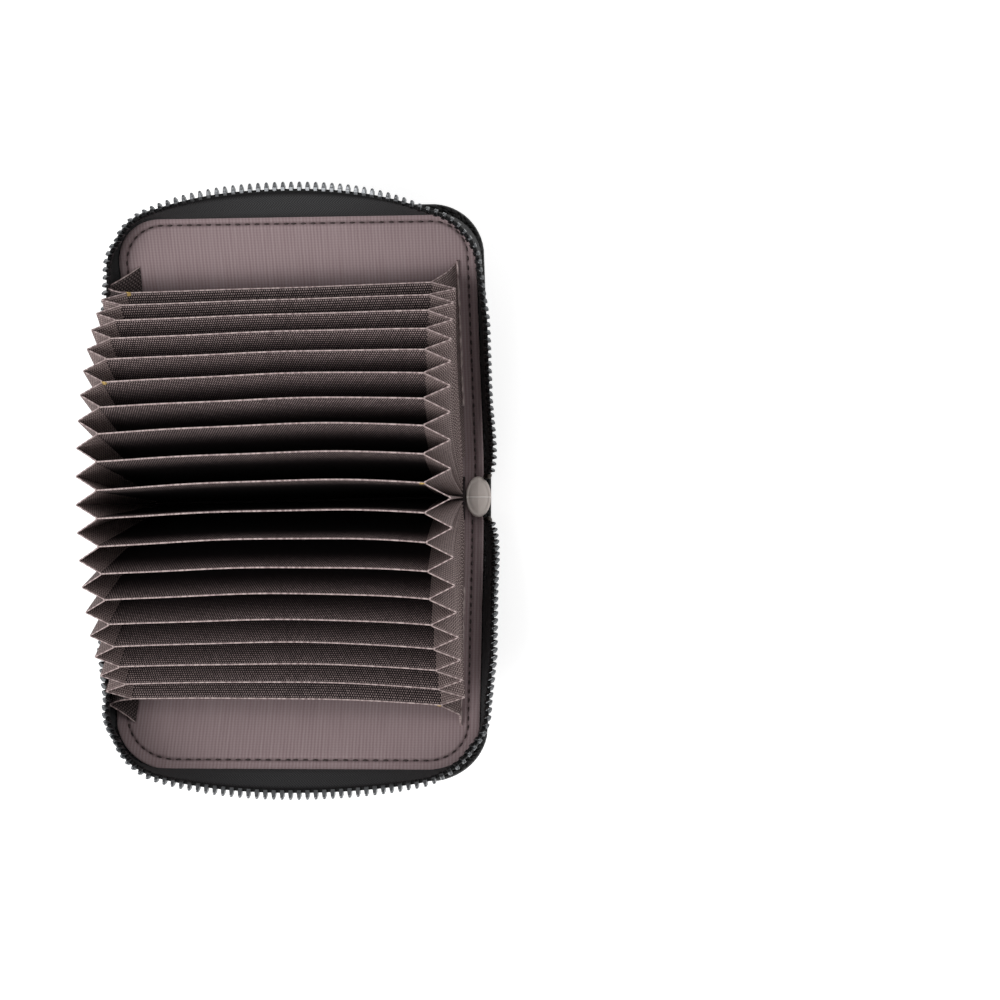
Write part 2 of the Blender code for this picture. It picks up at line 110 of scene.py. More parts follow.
# Slider and pull
SLIDER_FACE = -59.1 * MM
RING_X = -60.15 * MM
RING_WIDTH = 4.8 * MM
RING_HEIGHT = 8.2 * MM
RING_TOP = 11.8 * MM
WIRE = 1.5 * MM
PULL_THICKNESS = 1.3 * MM
PULL_LENGTH = 30 * MM

# Worked out from the values above
TANGENT = BEND_RADIUS * math.tan(LIFT / 2)
BEND_START = HINGE_Y - TANGENT
BEND_ARC = BEND_RADIUS * LIFT
HINGE_RUN = BEND_START + BEND_ARC - TANGENT
LEATHER_END = COVER_REACH + HINGE_RUN
LINING_END = LEATHER_END - LINING_EDGE
LINING_HALF = HALF_LENGTH - LINING_EDGE
MIDDLE = (LEAF_COUNT + 1) // 2
SIDES = {"front": -1, "back": 1}
ENDS = {"left": -1, "right": 1}


# Small tools


def linear(value):
    return value / 12.92 if value <= 0.04045 else ((value + 0.055) / 1.055) ** 2.4


def colour(code):
    return (*[linear(int(code[i:i + 2], 16) / 255) for i in (1, 3, 5)], 1)


def ease(value):
    value = min(max(value, 0.0), 1.0)
    return value * value * (3 - 2 * value)


def spread(low, high, count):
    return [low + (high - low) * i / count for i in range(count + 1)]


def read_off(table, value):
    """The height that a table of (distance, height) pairs in millimetres gives at a distance."""
    for (d0, h0), (d1, h1) in zip(table, table[1:]):
        if value <= d1 * MM:
            share = max(0.0, (value - d0 * MM) / ((d1 - d0) * MM))
            return (h0 + (h1 - h0) * share) * MM
    return table[-1][1] * MM


def draw_out(bm, faces):
    """Extrudes faces in place and gives the new vertices."""
    drawn = bmesh.ops.extrude_face_region(bm, geom=faces)["geom"]
    return [item for item in drawn if isinstance(item, bmesh.types.BMVert)]


def slab(across, along):
    """A closed slab with its vertices at the crossings of the given lines, from z -1 to z 1."""
    bm = bmesh.new()
    columns = len(across) - 1
    rows = len(along) - 1
    bmesh.ops.create_grid(bm, x_segments=columns, y_segments=rows, size=0.5)
    for vert in bm.verts:
        i = round((vert.co.x + 0.5) * columns)
        j = round((vert.co.y + 0.5) * rows)
        vert.co = (across[i], along[j], 1)
    for vert in draw_out(bm, bm.faces[:]):
        vert.co.z = -1
    return bm


def lay_flat_map(bm, name="flat", shape=lambda x, y: (x, y)):
    """A UV map that holds the flat place of each point, in metres."""
    layer = bm.loops.layers.uv.new(name)
    for face in bm.faces:
        for loop in face.loops:
            loop[layer].uv = shape(loop.vert.co.x, loop.vert.co.y)


def move_points(bm, place):
    for vert in bm.verts:
        vert.co = place(*vert.co)


def to_mesh(name, bm):
    mesh = bpy.data.meshes.new(name)
    bm.to_mesh(mesh)
    bm.free()
    return mesh


def finish_piece(name, bm, material, crease=50):
    bmesh.ops.recalc_face_normals(bm, faces=bm.faces)
    mesh = to_mesh(name, bm)
    mesh.shade_smooth()
    mesh.set_sharp_from_angle(angle=math.radians(crease))
    mesh.materials.append(material)
    piece = bpy.data.objects.new(name, mesh)
    bpy.context.scene.collection.objects.link(piece)
    return piece


def strew(name, shape, places, material, crease=50):
    """One piece made of copies of a small mesh, one at each matrix."""
    bm = bmesh.new()
    for place in places:
        bm.verts.ensure_lookup_table()
        first = len(bm.verts)
        bm.from_mesh(shape)
        bm.verts.ensure_lookup_table()
        bmesh.ops.transform(bm, matrix=place, verts=bm.verts[first:])
    return finish_piece(name, bm, material, crease)


def set_down(point, axes, scale=None):
    """A matrix that puts a small mesh at a point, with its X, Y and Z along the given axes."""
    return Matrix.LocRotScale(point, Matrix(axes).transposed(), scale)


def attach(piece, body, *nodes):
    """Fixes a piece to a body and says which solids it shows."""
    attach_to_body(piece, body)
    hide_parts(*nodes)


# Materials


def add_node(material, kind, inputs=None, **settings):
    """Adds a node with its settings, and joins or sets its inputs."""
    node = material.node_tree.nodes.new(kind)
    for key, value in settings.items():
        setattr(node, key, value)
    feed(material, node, inputs or {})
    return node


def feed(material, node, inputs):
    """Sets or joins inputs. A node stands for its first output in use, and a code for its colour."""
    for key, value in inputs.items():
        if isinstance(value, bpy.types.Node):
            value = next(output for output in value.outputs if output.enabled)
        if isinstance(value, str):
            value = colour(value)
        if isinstance(value, bpy.types.NodeSocket):
            material.node_tree.links.new(value, node.inputs[key])
        else:
            node.inputs[key].default_value = value


def new_material(name):
    material = bpy.data.materials.new(name)
    material.use_nodes = True
    return material, material.node_tree.nodes["Principled BSDF"]


def pebbled_leather():
    """Cowhide pressed with a pebble grain and sealed with a thin satin finish.

    Round pebbles about 1.5 mm by 1.2 mm catch a low sheen, and the creases between them are painted
    near-black as shade.
    """
    pebbles_in_a_metre = (670, 850, 1)
    material, shader = new_material("pebbled_leather")
    flat = add_node(material, "ShaderNodeUVMap", uv_map="flat")
    grain = add_node(material, "ShaderNodeMapping", {"Vector": flat, "Scale": pebbles_in_a_metre})
    wander = add_node(material, "ShaderNodeTexNoise", {"Vector": grain, "Scale": 0.7, "Detail": 2.0})
    bent = add_node(material, "ShaderNodeVectorMath",
                    {0: wander.outputs["Color"], 1: (0.5, 0.5, 0), 2: grain}, operation="MULTIPLY_ADD")
    cells = add_node(material, "ShaderNodeTexVoronoi", {"Vector": bent, "Scale": 1.0},
                     voronoi_dimensions="2D")
    slope = add_node(material, "ShaderNodeMath", {0: cells, 1: cells}, operation="MULTIPLY")
    pebble = add_node(material, "ShaderNodeMapRange", {"Value": slope, "From Min": 0.75, "From Max": 0})
    fine = add_node(material, "ShaderNodeTexNoise", {"Vector": grain, "Scale": 6.0, "Detail": 3.0})
    height = add_node(material, "ShaderNodeMath", {0: fine, 1: 0.12, 2: pebble}, operation="MULTIPLY_ADD")
    bump = add_node(material, "ShaderNodeBump", {"Height": height, "Strength": 1.0, "Distance": 0.7 * MM})
    # Painted shade: the base colour goes near-black in the creases between the pebbles.
    tint = add_node(material, "ShaderNodeMix", {"Factor": pebble, "A": "#030303", "B": "#1f1f20"},
                    data_type="RGBA")
    gloss = add_node(material, "ShaderNodeMapRange", {"Value": fine, "To Min": 0.3, "To Max": 0.46})
    feed(material, shader, {"Base Color": tint, "Roughness": gloss, "Normal": bump,
                            "Specular IOR Level": 0.2})
    return material


def flat_place(material, name="flat"):
    """The flat place of a point of the cloth, in millimetres."""
    flat = add_node(material, "ShaderNodeUVMap", uv_map=name)
    return add_node(material, "ShaderNodeMapping", {"Vector": flat, "Scale": (1000, 1000, 1)})


def woven_ribs(material, place, direction, spacing, wander=0.3):
    """The ribs of a weave, a number of millimetres apart, as a share from 0 to 1."""
    spacing_at_scale_one = 0.314
    ribs = add_node(material, "ShaderNodeTexWave",
                    {"Vector": place, "Scale": spacing_at_scale_one / spacing, "Distortion": wander,
                     "Detail": 1.0, "Detail Scale": 1.5}, bands_direction=direction)
    return ribs.outputs["Fac"]


def dobby_dots(material, place):
    """Pale floats of thread in staggered rows 0.78 mm apart, as a share from 0 to 1."""
    white = (1, 1, 1, 1)
    grey = (0.6, 0.6, 0.6, 1)
    black = (0, 0, 0, 1)
    return add_node(material, "ShaderNodeTexBrick",
                    {"Vector": place, "Color1": white, "Color2": grey, "Mortar": black, "Scale": 1.0,
                     "Mortar Size": 0.21, "Mortar Smooth": 0.45, "Brick Width": 0.68, "Row Height": 0.78},
                    offset=0.5)


def cloth_finish(material, shader, tint, height, strength):
    """Dull cloth with a weave that stands up about a tenth of a millimetre."""
    bump = add_node(material, "ShaderNodeBump",
                    {"Height": height, "Strength": strength, "Distance": 0.1 * MM})
    feed(material, shader, {"Base Color": tint, "Roughness": 0.82, "Normal": bump,
                            "Specular IOR Level": 0.3})


def lining_cloth(name, stitch_inset):
    """Polyester lining in plain weave. Ribs 1 mm apart run across the cover, with finer threads along it.

    The thread draws the cloth down along the stitch line, and painted shade makes that groove look darker and
    redder, in blotches.
    """
    material, shader = new_material(name)
    place = flat_place(material, "weave")
    ribs = woven_ribs(material, place, "X", 1.0, 0.9)
    threads = woven_ribs(material, place, "Y", 0.8, 1.2)
    slub_place = add_node(material, "ShaderNodeMapping", {"Vector": place, "Scale": (1.3, 0.05, 1)})
    slub = add_node(material, "ShaderNodeTexNoise", {"Vector": slub_place, "Scale": 1.0, "Detail": 2.0})
    low_ribs = add_node(material, "ShaderNodeMath", {0: ribs, 1: 0.4}, operation="MULTIPLY")
    crossed = add_node(material, "ShaderNodeMath", {0: threads, 1: 0.13, 2: low_ribs},
                       operation="MULTIPLY_ADD")
    weave = add_node(material, "ShaderNodeMath", {0: slub, 1: 0.6, 2: crossed}, operation="MULTIPLY_ADD")
    share = add_node(material, "ShaderNodeMapRange", {"Value": weave, "From Min": 0.15, "From Max": 1.05})
    woven = add_node(material, "ShaderNodeMix", {"Factor": share, "A": "#846f72", "B": "#a49394"},
                     data_type="RGBA")
    spot = add_node(material, "ShaderNodeSeparateXYZ", {"Vector": flat_place(material)})
    off_middle = add_node(material, "ShaderNodeMath", {0: spot.outputs["X"]}, operation="ABSOLUTE")
    side_inset = add_node(material, "ShaderNodeMath", {0: LINING_HALF / MM, 1: off_middle},
                          operation="SUBTRACT")
    end_inset = add_node(material, "ShaderNodeMath", {0: LINING_END / MM, 1: spot.outputs["Y"]},
                         operation="SUBTRACT")
    inset = add_node(material, "ShaderNodeMath", {0: side_inset, 1: end_inset}, operation="MINIMUM")
    past_line = add_node(material, "ShaderNodeMath", {0: inset, 1: stitch_inset / MM}, operation="SUBTRACT")
    off_line = add_node(material, "ShaderNodeMath", {0: past_line}, operation="ABSOLUTE")
    blotch = add_node(material, "ShaderNodeTexNoise", {"Vector": place, "Scale": 0.7, "Detail": 2.0})
    # Painted shade in the groove along the stitch line, made patchy by the blotch noise.
    stitch_groove_shade = add_node(material, "ShaderNodeMapRange",
                    {"Value": off_line, "From Min": 0.9, "From Max": 0.1, "To Max": blotch})
    tint = add_node(material, "ShaderNodeMix", {"Factor": stitch_groove_shade, "A": woven, "B": "#3d2b2c"}, data_type="RGBA")
    cloth_finish(material, shader, tint, weave, 0.4)
    return material


def leaf_cloth():
    """Dotted dobby cloth: pale floats on a dark ground, with painted shade that fades the floats into the
    ground deep in the pocket.
    """
    material, shader = new_material("dotted_leaf_cloth")
    place = flat_place(material)
    dots = dobby_dots(material, place)
    spot = add_node(material, "ShaderNodeSeparateXYZ", {"Vector": place})
    # Painted shade: the floats fade into the dark ground between 61 mm and 47 mm of reach.
    depth = add_node(material, "ShaderNodeMapRange",
                     {"Value": spot.outputs["Y"], "From Min": 47.0, "From Max": 61.0, "To Min": 0.03},
                     interpolation_type="SMOOTHSTEP")
    amount = add_node(material, "ShaderNodeMath", {0: dots, 1: depth}, operation="MULTIPLY")
    tint = add_node(material, "ShaderNodeMix", {"Factor": amount, "A": "#1f1719", "B": "#bba6a4"},
                    data_type="RGBA")
    cloth_finish(material, shader, tint, dots, 0.4)
    return material


def leaf_hem():
    """The folded edge of the leaf cloth at the pocket's mouth, with a painted highlight that makes it pale
    along the fold, unevenly.
    """
    material, shader = new_material("leaf_hem_cloth")
    along_hem = add_node(material, "ShaderNodeMapping",
                         {"Vector": flat_place(material), "Scale": (1.5, 0.4, 1)})
    # Painted highlight along the fold, in uneven patches.
    uneven_hem_highlight = add_node(material, "ShaderNodeTexNoise", {"Vector": along_hem, "Scale": 1.0, "Detail": 2.0})
    share = add_node(material, "ShaderNodeMapRange", {"Value": uneven_hem_highlight, "From Min": 0.35, "From Max": 0.65})
    tint = add_node(material, "ShaderNodeMix", {"Factor": share, "A": "#8b7878", "B": "#d0bebb"},
                    data_type="RGBA")
    cloth_finish(material, shader, tint, uneven_hem_highlight, 0.4)
    return material


def gusset_cloth(name, dark, pale, floats):
    """The dotted cloth of the leaves, stretched along the gussets, so that its ground shows paler."""
    material, shader = new_material(name)
    place = flat_place(material)
    dots = dobby_dots(material, place)
    ribs = woven_ribs(material, place, "X", 0.68)
    ground = add_node(material, "ShaderNodeMix", {"Factor": ribs, "A": dark, "B": pale}, data_type="RGBA")
    tint = add_node(material, "ShaderNodeMix", {"Factor": dots, "A": ground, "B": floats}, data_type="RGBA")
    cloth_finish(material, shader, tint, dots, 0.5)
    return material


def zip_tape():
    """Polyester zip tape in a herringbone twill 0.8 mm apart, dyed black, with painted shade that darkens it
    towards the teeth.
    """
    material, shader = new_material("herringbone_zip_tape")
    spot = add_node(material, "ShaderNodeSeparateXYZ", {"Vector": flat_place(material)})
    zigzag = add_node(material, "ShaderNodeMath", {0: spot.outputs["Y"], 1: 2.05}, operation="PINGPONG")
    slant = add_node(material, "ShaderNodeMath", {0: spot.outputs["X"], 1: zigzag}, operation="ADD")
    slanted = add_node(material, "ShaderNodeCombineXYZ", {"X": slant, "Y": spot.outputs["Y"]})
    twill = woven_ribs(material, slanted, "X", 0.8)
    dyed = add_node(material, "ShaderNodeMix", {"Factor": twill, "A": "#29292a", "B": "#464647"},
                    data_type="RGBA")
    # Painted shade under the teeth: the tape darkens from 5.6 mm up to near-black at 7.8 mm.
    shade_by_teeth = add_node(material, "ShaderNodeMapRange",
                          {"Value": spot.outputs["Y"], "From Min": 5.6, "From Max": 7.8},
                          interpolation_type="SMOOTHSTEP")
    tint = add_node(material, "ShaderNodeMix", {"Factor": shade_by_teeth, "A": dyed, "B": "#121213"},
                    data_type="RGBA")
    cloth_finish(material, shader, tint, twill, 0.5)
    return material


def plated_metal(name, dark, light, roughness):
    """Zinc alloy, die cast and plated. Hard clear highlights, broken up by faint rubbing."""
    material, shader = new_material(name)
    place = add_node(material, "ShaderNodeTexCoord").outputs["Object"]
    rub = add_node(material, "ShaderNodeTexNoise", {"Vector": place, "Scale": 900.0, "Detail": 3.0})
    tint = add_node(material, "ShaderNodeMix", {"Factor": rub, "A": dark, "B": light}, data_type="RGBA")
    gloss = add_node(material, "ShaderNodeMapRange",
                     {"Value": rub, "To Min": roughness - 0.08, "To Max": roughness + 0.1})
    feed(material, shader, {"Base Color": tint, "Roughness": gloss, "Metallic": 1.0})
    return material


def sewing_thread(name, dark, light):
    """Twisted polyester thread, with a soft sheen and twist lines about 0.4 mm apart."""
    material, shader = new_material(name)
    place = add_node(material, "ShaderNodeTexCoord").outputs["Object"]
    twist = add_node(material, "ShaderNodeTexWave", {"Vector": place, "Scale": 1000.0, "Distortion": 1.0},
                     bands_direction="DIAGONAL")
    tint = add_node(material, "ShaderNodeMix", {"Factor": twist.outputs["Fac"], "A": dark, "B": light},
                    data_type="RGBA")
    feed(material, shader, {"Base Color": tint, "Roughness": 0.5})
    return material


def tab_cloth():
    """Grosgrain ribbon over the end of the zip, with fine ribs 0.35 mm apart and a raised seam that is
    painted paler as a highlight.
    """
    seam_y = 0.2 * MM
    material, shader = new_material("grosgrain_end_tab")
    place = add_node(material, "ShaderNodeTexCoord").outputs["Object"]
    wave = add_node(material, "ShaderNodeTexWave", {"Vector": place, "Scale": 900.0, "Distortion": 0.8},
                    bands_direction="Y")
    ribs = wave.outputs["Fac"]
    ribbed = add_node(material, "ShaderNodeMix", {"Factor": ribs, "A": "#c6bab3", "B": "#e6dcd6"},
                      data_type="RGBA")
    spot = add_node(material, "ShaderNodeSeparateXYZ", {"Vector": place})
    past_seam = add_node(material, "ShaderNodeMath", {0: spot.outputs["Y"], 1: seam_y}, operation="SUBTRACT")
    off_seam = add_node(material, "ShaderNodeMath", {0: past_seam}, operation="ABSOLUTE")
    seam = add_node(material, "ShaderNodeMapRange",
                    {"Value": off_seam, "From Min": 0.1 * MM, "From Max": 0.3 * MM, "To Min": 1.0,
                     "To Max": 0.0})
    tall_seam = add_node(material, "ShaderNodeMath", {0: seam, 1: 3.0}, operation="MULTIPLY")
    height = add_node(material, "ShaderNodeMath", {0: ribs, 1: tall_seam}, operation="ADD")
    # Painted highlight along the seam's raised fold.
    tint = add_node(material, "ShaderNodeMix", {"Factor": seam, "A": ribbed, "B": "#f4ece7"},
                    data_type="RGBA")
    bump = add_node(material, "ShaderNodeBump", {"Height": height, "Strength": 0.5, "Distance": 0.1 * MM})
    feed(material, shader, {"Base Color": tint, "Roughness": 0.8, "Normal": bump})
    return material


def grey_board():
    """Recycled grey board, with fibres that mottle it."""
    material, shader = new_material("grey_stiffener_board")
    place = add_node(material, "ShaderNodeTexCoord").outputs["Object"]
    fibre = add_node(material, "ShaderNodeTexNoise", {"Vector": place, "Scale": 1500.0})
    tint = add_node(material, "ShaderNodeMix", {"Factor": fibre, "A": "#5f5a54", "B": "#7d776f"},
                    data_type="RGBA")
    feed(material, shader, {"Base Color": tint, "Roughness": 0.9})
    return material


# Covers, spine and lining

LEATHER_LINES = (0, 0.12, 0.4, 0.9, 1.5, 2.05, 2.2, 2.35, 2.6, 2.9, 3.4, 4.5, 6, 8, 10, 12, 14)
LEATHER_OUTSIDE = ((0, -0.35), (0.12, -0.8), (0.4, -1.1), (0.9, -1.3), (1.5, -1.36), (2.2, -1.32),
                   (2.6, -1.16), (2.9, -1.3), (3.4, -1.4), (4.5, -1.47), (6, -1.5), (9, -1.5))
LEATHER_INSIDE = ((0, 0.3), (0.12, 0.65), (0.4, 0.9), (0.9, 1.06), (1.5, 1.1), (2.05, 1.05), (2.2, 0.9),
                  (2.35, -0.5), (9, -0.5))
LINING_LINES = (0, 0.12, 0.4, 0.9, 1.5, 2, 2.5, 3, 3.4, 3.8, 4.6, 6.2, 8, 10, 12, 14)
LINING_RIM = ((0, 1.12), (0.12, 1.26), (0.4, 1.38), (0.9, 1.44), (1.5, 1.42))
LINING_UNDER = ((0, 0.92), (9, 0.92))
SPINE_LINING_DROP = 0.15 * MM
LEATHER_STITCH_INSET = 2.6 * MM


def wrap(side, x, s, h):
    """Where a point of the leather, board or lining is, round the fold between spine and cover."""
    if s <= BEND_START:
        return Vector((x, side * s, HINGE_Z + h))
    if s <= BEND_START + BEND_ARC:
        turn = (s - BEND_START) / BEND_RADIUS
        radius = BEND_RADIUS - h
        return Vector((x, side * (BEND_START + radius * math.sin(turn)),
                       HINGE_Z + BEND_RADIUS - radius * math.cos(turn)))
    return on_cover(side, x, s - HINGE_RUN, h)


def on_cover(side, x, reach, height):
    """A point of the open cover, by its distance from the hinge and above its middle plane."""
    out = HINGE_Y + reach * math.cos(LIFT) - height * math.sin(LIFT)
    up = HINGE_Z + reach * math.sin(LIFT) + height * math.cos(LIFT)
    return slide(side, Vector((x, side * out, up)))


def slide(side, point):
    """The front cover has slid a little along the wallet, more towards its free edge."""
    reach = (side * point.y - HINGE_Y) * math.cos(LIFT) + (point.z - HINGE_Z) * math.sin(LIFT)
    return point + Vector((COVER_SLIDE[side] * max(reach, 0) / COVER_REACH, 0, 0))


def round_corner(x, s, half, end, side, inset):
    """Pulls the square corner of the flat shape in to a round one, an inset inside the leather's."""
    radius = CORNERS[side, 1 if x > 0 else -1] - inset
    across = abs(x) - (half - radius)
    along = s - (end - radius)
    if across <= 0 or along <= 0:
        return x, s
    scale = max(across, along) / math.hypot(across, along)
    return math.copysign(half - radius + across * scale, x), end - radius + along * scale


def cover_lines(lines, half, end):
    """The lines of a cover's grid: close together along the edges and round the fold."""
    near = [d * MM for d in lines]
    far = near[-1]
    inner = spread(-half + far, half - far, 17)[1:-1]
    across = [-half + d for d in near] + inner + [half - d for d in near[::-1]]
    fold = [0, 3 * MM, 6 * MM] + spread(8 * MM, 18 * MM, 10)
    along = fold + spread(18 * MM, end - far, 12)[1:-1] + [end - d for d in near[::-1]]
    return across, along


def spine_drop(s):
    """How much lower the lining lies over the spine than on the cover."""
    return SPINE_LINING_DROP * (1 - ease((s - 9 * MM) / (8 * MM)))


def make_shell(which, side, kind, lines, top, under, half, end, corner_inset, material):
    """One half of the leather or the lining, from the middle of the spine to the cover's edge."""
    bm = slab(*cover_lines(lines, half, end))
    lay_flat_map(bm)
    lay_flat_map(bm, "weave", lambda x, s: round_corner(x, s, half, end, side, corner_inset))

    def place(x, s, z):
        inset = min(half - abs(x), end - s)
        height = read_off(top if z > 0 else under, inset)
        if kind == "lining":
            height -= spine_drop(s)
        x, s = round_corner(x, s, half, end, side, corner_inset)
        return wrap(side, x, s, height)

    move_points(bm, place)
    piece = finish_piece(f"{which}_{kind}", bm, material)
    return fold_with_cover(piece, side)


def fold_with_cover(piece, side):
    end = on_cover(side, 0, 3.5 * MM, 0)
    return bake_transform(piece)


def stitch_shape(length, radius):
    bm = bmesh.new()
    bmesh.ops.create_uvsphere(bm, u_segments=8, v_segments=6, radius=1)
    bmesh.ops.scale(bm, vec=(length / 2, radius, radius), verts=bm.verts)
    return to_mesh("stitch", bm)


def edge_run(half, end, radius, pitch, way):
    """Stations a pitch apart along one half of the edge line: x, s and heading.

    The way is -1 or 1 along x.
    """
    straight = end - radius
    bend = radius * math.pi / 2
    total = straight + bend + half - radius
    count = int(total / pitch)
    stations = []
    for i in range(count + 1):
        run = pitch * (i + 0.5)
        if run < straight:
            station = (half, run, math.pi / 2)
        elif run < straight + bend:
            turn = (run - straight) / radius
            station = (half - radius + radius * math.cos(turn), end - radius + radius * math.sin(turn),
                       math.pi / 2 + turn)
        elif run < total:
            station = (half - radius - (run - straight - bend), end, math.pi)
        else:
            break
        stations.append(station if way > 0 else (-station[0], station[1], math.pi - station[2]))
    return stations


def lie_on(side, x, s, h, heading):
    """A matrix at a place on the cover, with its X along the heading and its Z away from the cover."""
    step = 0.2 * MM
    here = wrap(side, x, s, h)
    ahead = wrap(side, x + step * math.cos(heading), s + step * math.sin(heading), h)
    behind = wrap(side, x - step * math.cos(heading), s - step * math.sin(heading), h)
    forward = (ahead - behind).normalized()
    up = (wrap(side, x, s, h + step) - wrap(side, x, s, h - step)).normalized()
    sideways = up.cross(forward).normalized()
    return set_down(here, (forward, sideways, up))


def make_stitches(which, side, kind, inset, h, pitch, length, thread, material):
    """A row of stitches round a cover, an inset inside the leather's edge."""
    places = []
    stations = []
    for way in (-1, 1):
        stations += edge_run(HALF_LENGTH - inset, LEATHER_END - inset, CORNERS[side, way] - inset, pitch, way)
    for x, s, heading in stations:
        drop = spine_drop(s) if h > 0 else 0
        places.append(lie_on(side, x, s, h - drop, heading))
    piece = strew(f"{which}_{kind}_stitches", stitch_shape(length, thread / 2), places, material, crease=180)
    return fold_with_cover(piece, side)


def groove(inset):
    """The lining's height over the stitch line, which the thread draws down."""
    return (inset - 0.5, 1.42), (inset, 1.16), (inset + 0.5, 1.4), (inset + 1.2, 1.46), (9, 1.42)


def make_covers():
    for which, side in SIDES.items():
        leather = make_shell(which, side, "leather", LEATHER_LINES, LEATHER_INSIDE, LEATHER_OUTSIDE,
                             HALF_LENGTH, LEATHER_END, 0, LEATHER)
        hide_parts(f"{which}_cover_leather", "spine_leather")
        top = LINING_RIM + groove(STITCH_INSETS[side] / MM)
        lining = make_shell(which, side, "lining", LINING_LINES, top, LINING_UNDER,
                            LINING_HALF, LINING_END, LINING_EDGE, LININGS[side])
        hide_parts(f"{which}_cover_lining", "spine_lining")
        make_board(which, side)
        make_stitches(which, side, "leather", LEATHER_STITCH_INSET, -1.2 * MM, 3.0 * MM, 2.3 * MM, 0.5 * MM,
                      BLACK_THREAD)
        make_stitches(which, side, "lining", LINING_EDGE + STITCH_INSETS[side], 1.3 * MM, 2.9 * MM, 1.7 * MM,
                      0.62 * MM, BROWN_THREAD)


def make_board(which, side):
    """The stiffener inside a cover, between the leather and the lining."""
    inset = LEATHER_STITCH_INSET
    half = HALF_LENGTH - inset
    end = LEATHER_END - inset
    start = HINGE_RUN + 3 * MM
    near = [0, 2 * MM, 4 * MM, 7 * MM, 10 * MM, 13 * MM]
    across = [-half + d for d in near] + [half - d for d in near[::-1]]
    bm = slab(across, spread(start, end - 16 * MM, 4) + [end - d for d in near[::-1]])

    def place(x, s, z):
        x, s = round_corner(x, s, half, end, side, inset)
        return wrap(side, x, s, 0.86 * MM if z > 0 else -0.44 * MM)

    move_points(bm, place)
    attach(finish_piece(f"{which}_board", bm, BOARD), f"{which}_cover", f"{which}_cover_board")


# Accordion


def leaf_turn(number):
    return (number - MIDDLE) * LEAF_TURN


def leaf_foot(number):
    steps = abs(number - MIDDLE)
    out = 1 if number > MIDDLE else -1
    y = sum(LEAF_PITCH * math.cos(i * LEAF_TURN) for i in range(steps))
    z = sum(LEAF_PITCH * math.sin(i * LEAF_TURN) for i in range(steps))
    return Vector((0, out * y, FOOT_HEIGHT - z))


def skew_fan(point):
    """The open fan stands a little turned, tipped and askew on its spine."""
    turned = Matrix.Rotation(FAN_ROLL, 3, "X") @ Matrix.Rotation(FAN_YAW, 3, "Z") @ point
    return turned - Vector((turned.y * FAN_SHEAR, 0, 0))


def leaf_point(number, x, reach, depth=0.0):
    """A point of a leaf. Depth is measured towards the back cover.

    The leaf bows and waves a little more towards its mouth, as slack cloth does, and not at its ends.
    """
    turn = leaf_turn(number)
    along = Vector((0, math.sin(turn), math.cos(turn)))
    through = Vector((0, math.cos(turn), -math.sin(turn)))
    share = x / (LEAF_WIDTH / 2)
    rise = (reach / LEAF_DEPTH) ** 1.5
    slack = min((LEAF_COUNT - 0.6 - number) / 7, 1)
    bow = LEAF_BOW * slack * (1 - share * share) * (1 + 0.35 * share) * rise / max(math.cos(turn), 0.7)
    wave = 0.25 * MM * math.sin(2.7 * share + 1.9 * number) * math.sin(3.1 * share - 1.3 * number) * rise
    if abs(share) < 1:
        depth += bow + wave * (1 - share * share)
    splay = x * math.tan(FAN_SPLAY[1 if number > MIDDLE else -1]) * (number - MIDDLE) / (MIDDLE - 1) * rise
    narrow = 1 - FOOT_NARROWING * (1 - rise)
    base = leaf_foot(number) + Vector((LEAF_OFFSET + x * narrow, splay, 0))
    return skew_fan(base + along * reach + through * depth)


def leaf_body(number):
    return "spine" if number == MIDDLE else f"leaf_{number:02d}"


def mark_hem(bm):
    """Gives the faces along the pocket's mouth the second material."""
    for face in bm.faces:
        if face.calc_center_median().y > LEAF_DEPTH - HEM:
            face.material_index = 1


def make_leaf(number):
    """A leaf of cloth, with its hem at the mouth as a band of its own material."""
    half = LEAF_WIDTH / 2
    across = spread(-half, half, 26)
    along = [0.4 * MM] + spread(4 * MM, LEAF_DEPTH - 3 * MM, 8) + [
        LEAF_DEPTH - 1.2 * MM, LEAF_DEPTH - HEM, LEAF_DEPTH - 0.16 * MM, LEAF_DEPTH - 0.05 * MM, LEAF_DEPTH]
    bm = slab(across, along)
    lay_flat_map(bm)
    mark_hem(bm)

    def place(x, reach, z):
        near = LEAF_DEPTH - reach
        full = LEAF_THICKNESS / 2
        thick = full * math.sqrt(max(0.08, 1 - max(0.0, 1 - near / (0.22 * MM)) ** 2))
        return leaf_point(number, x, reach, z * thick)

    move_points(bm, place)
    piece = finish_piece(f"leaf_{number:02d}_cloth", bm, LEAF_CLOTH)
    piece.data.materials.append(LEAF_HEM)
    attach(piece, leaf_body(number), f"leaf_{number:02d}")


GUSSET_ACROSS = (0, 0.16, 0.32, 0.44, 0.48, 0.5, 0.52, 0.56, 0.68, 0.84, 1)
GUSSET_DROP = 1 * MM

# How far the folds stand out near the foot, as a share of what they do at the mouth
GUSSET_WAIST = 0.86

# The share of the leaves' depth at which points on a gusset's two edges are found; nothing uses these points
GUSSET_GRIP = 0.75


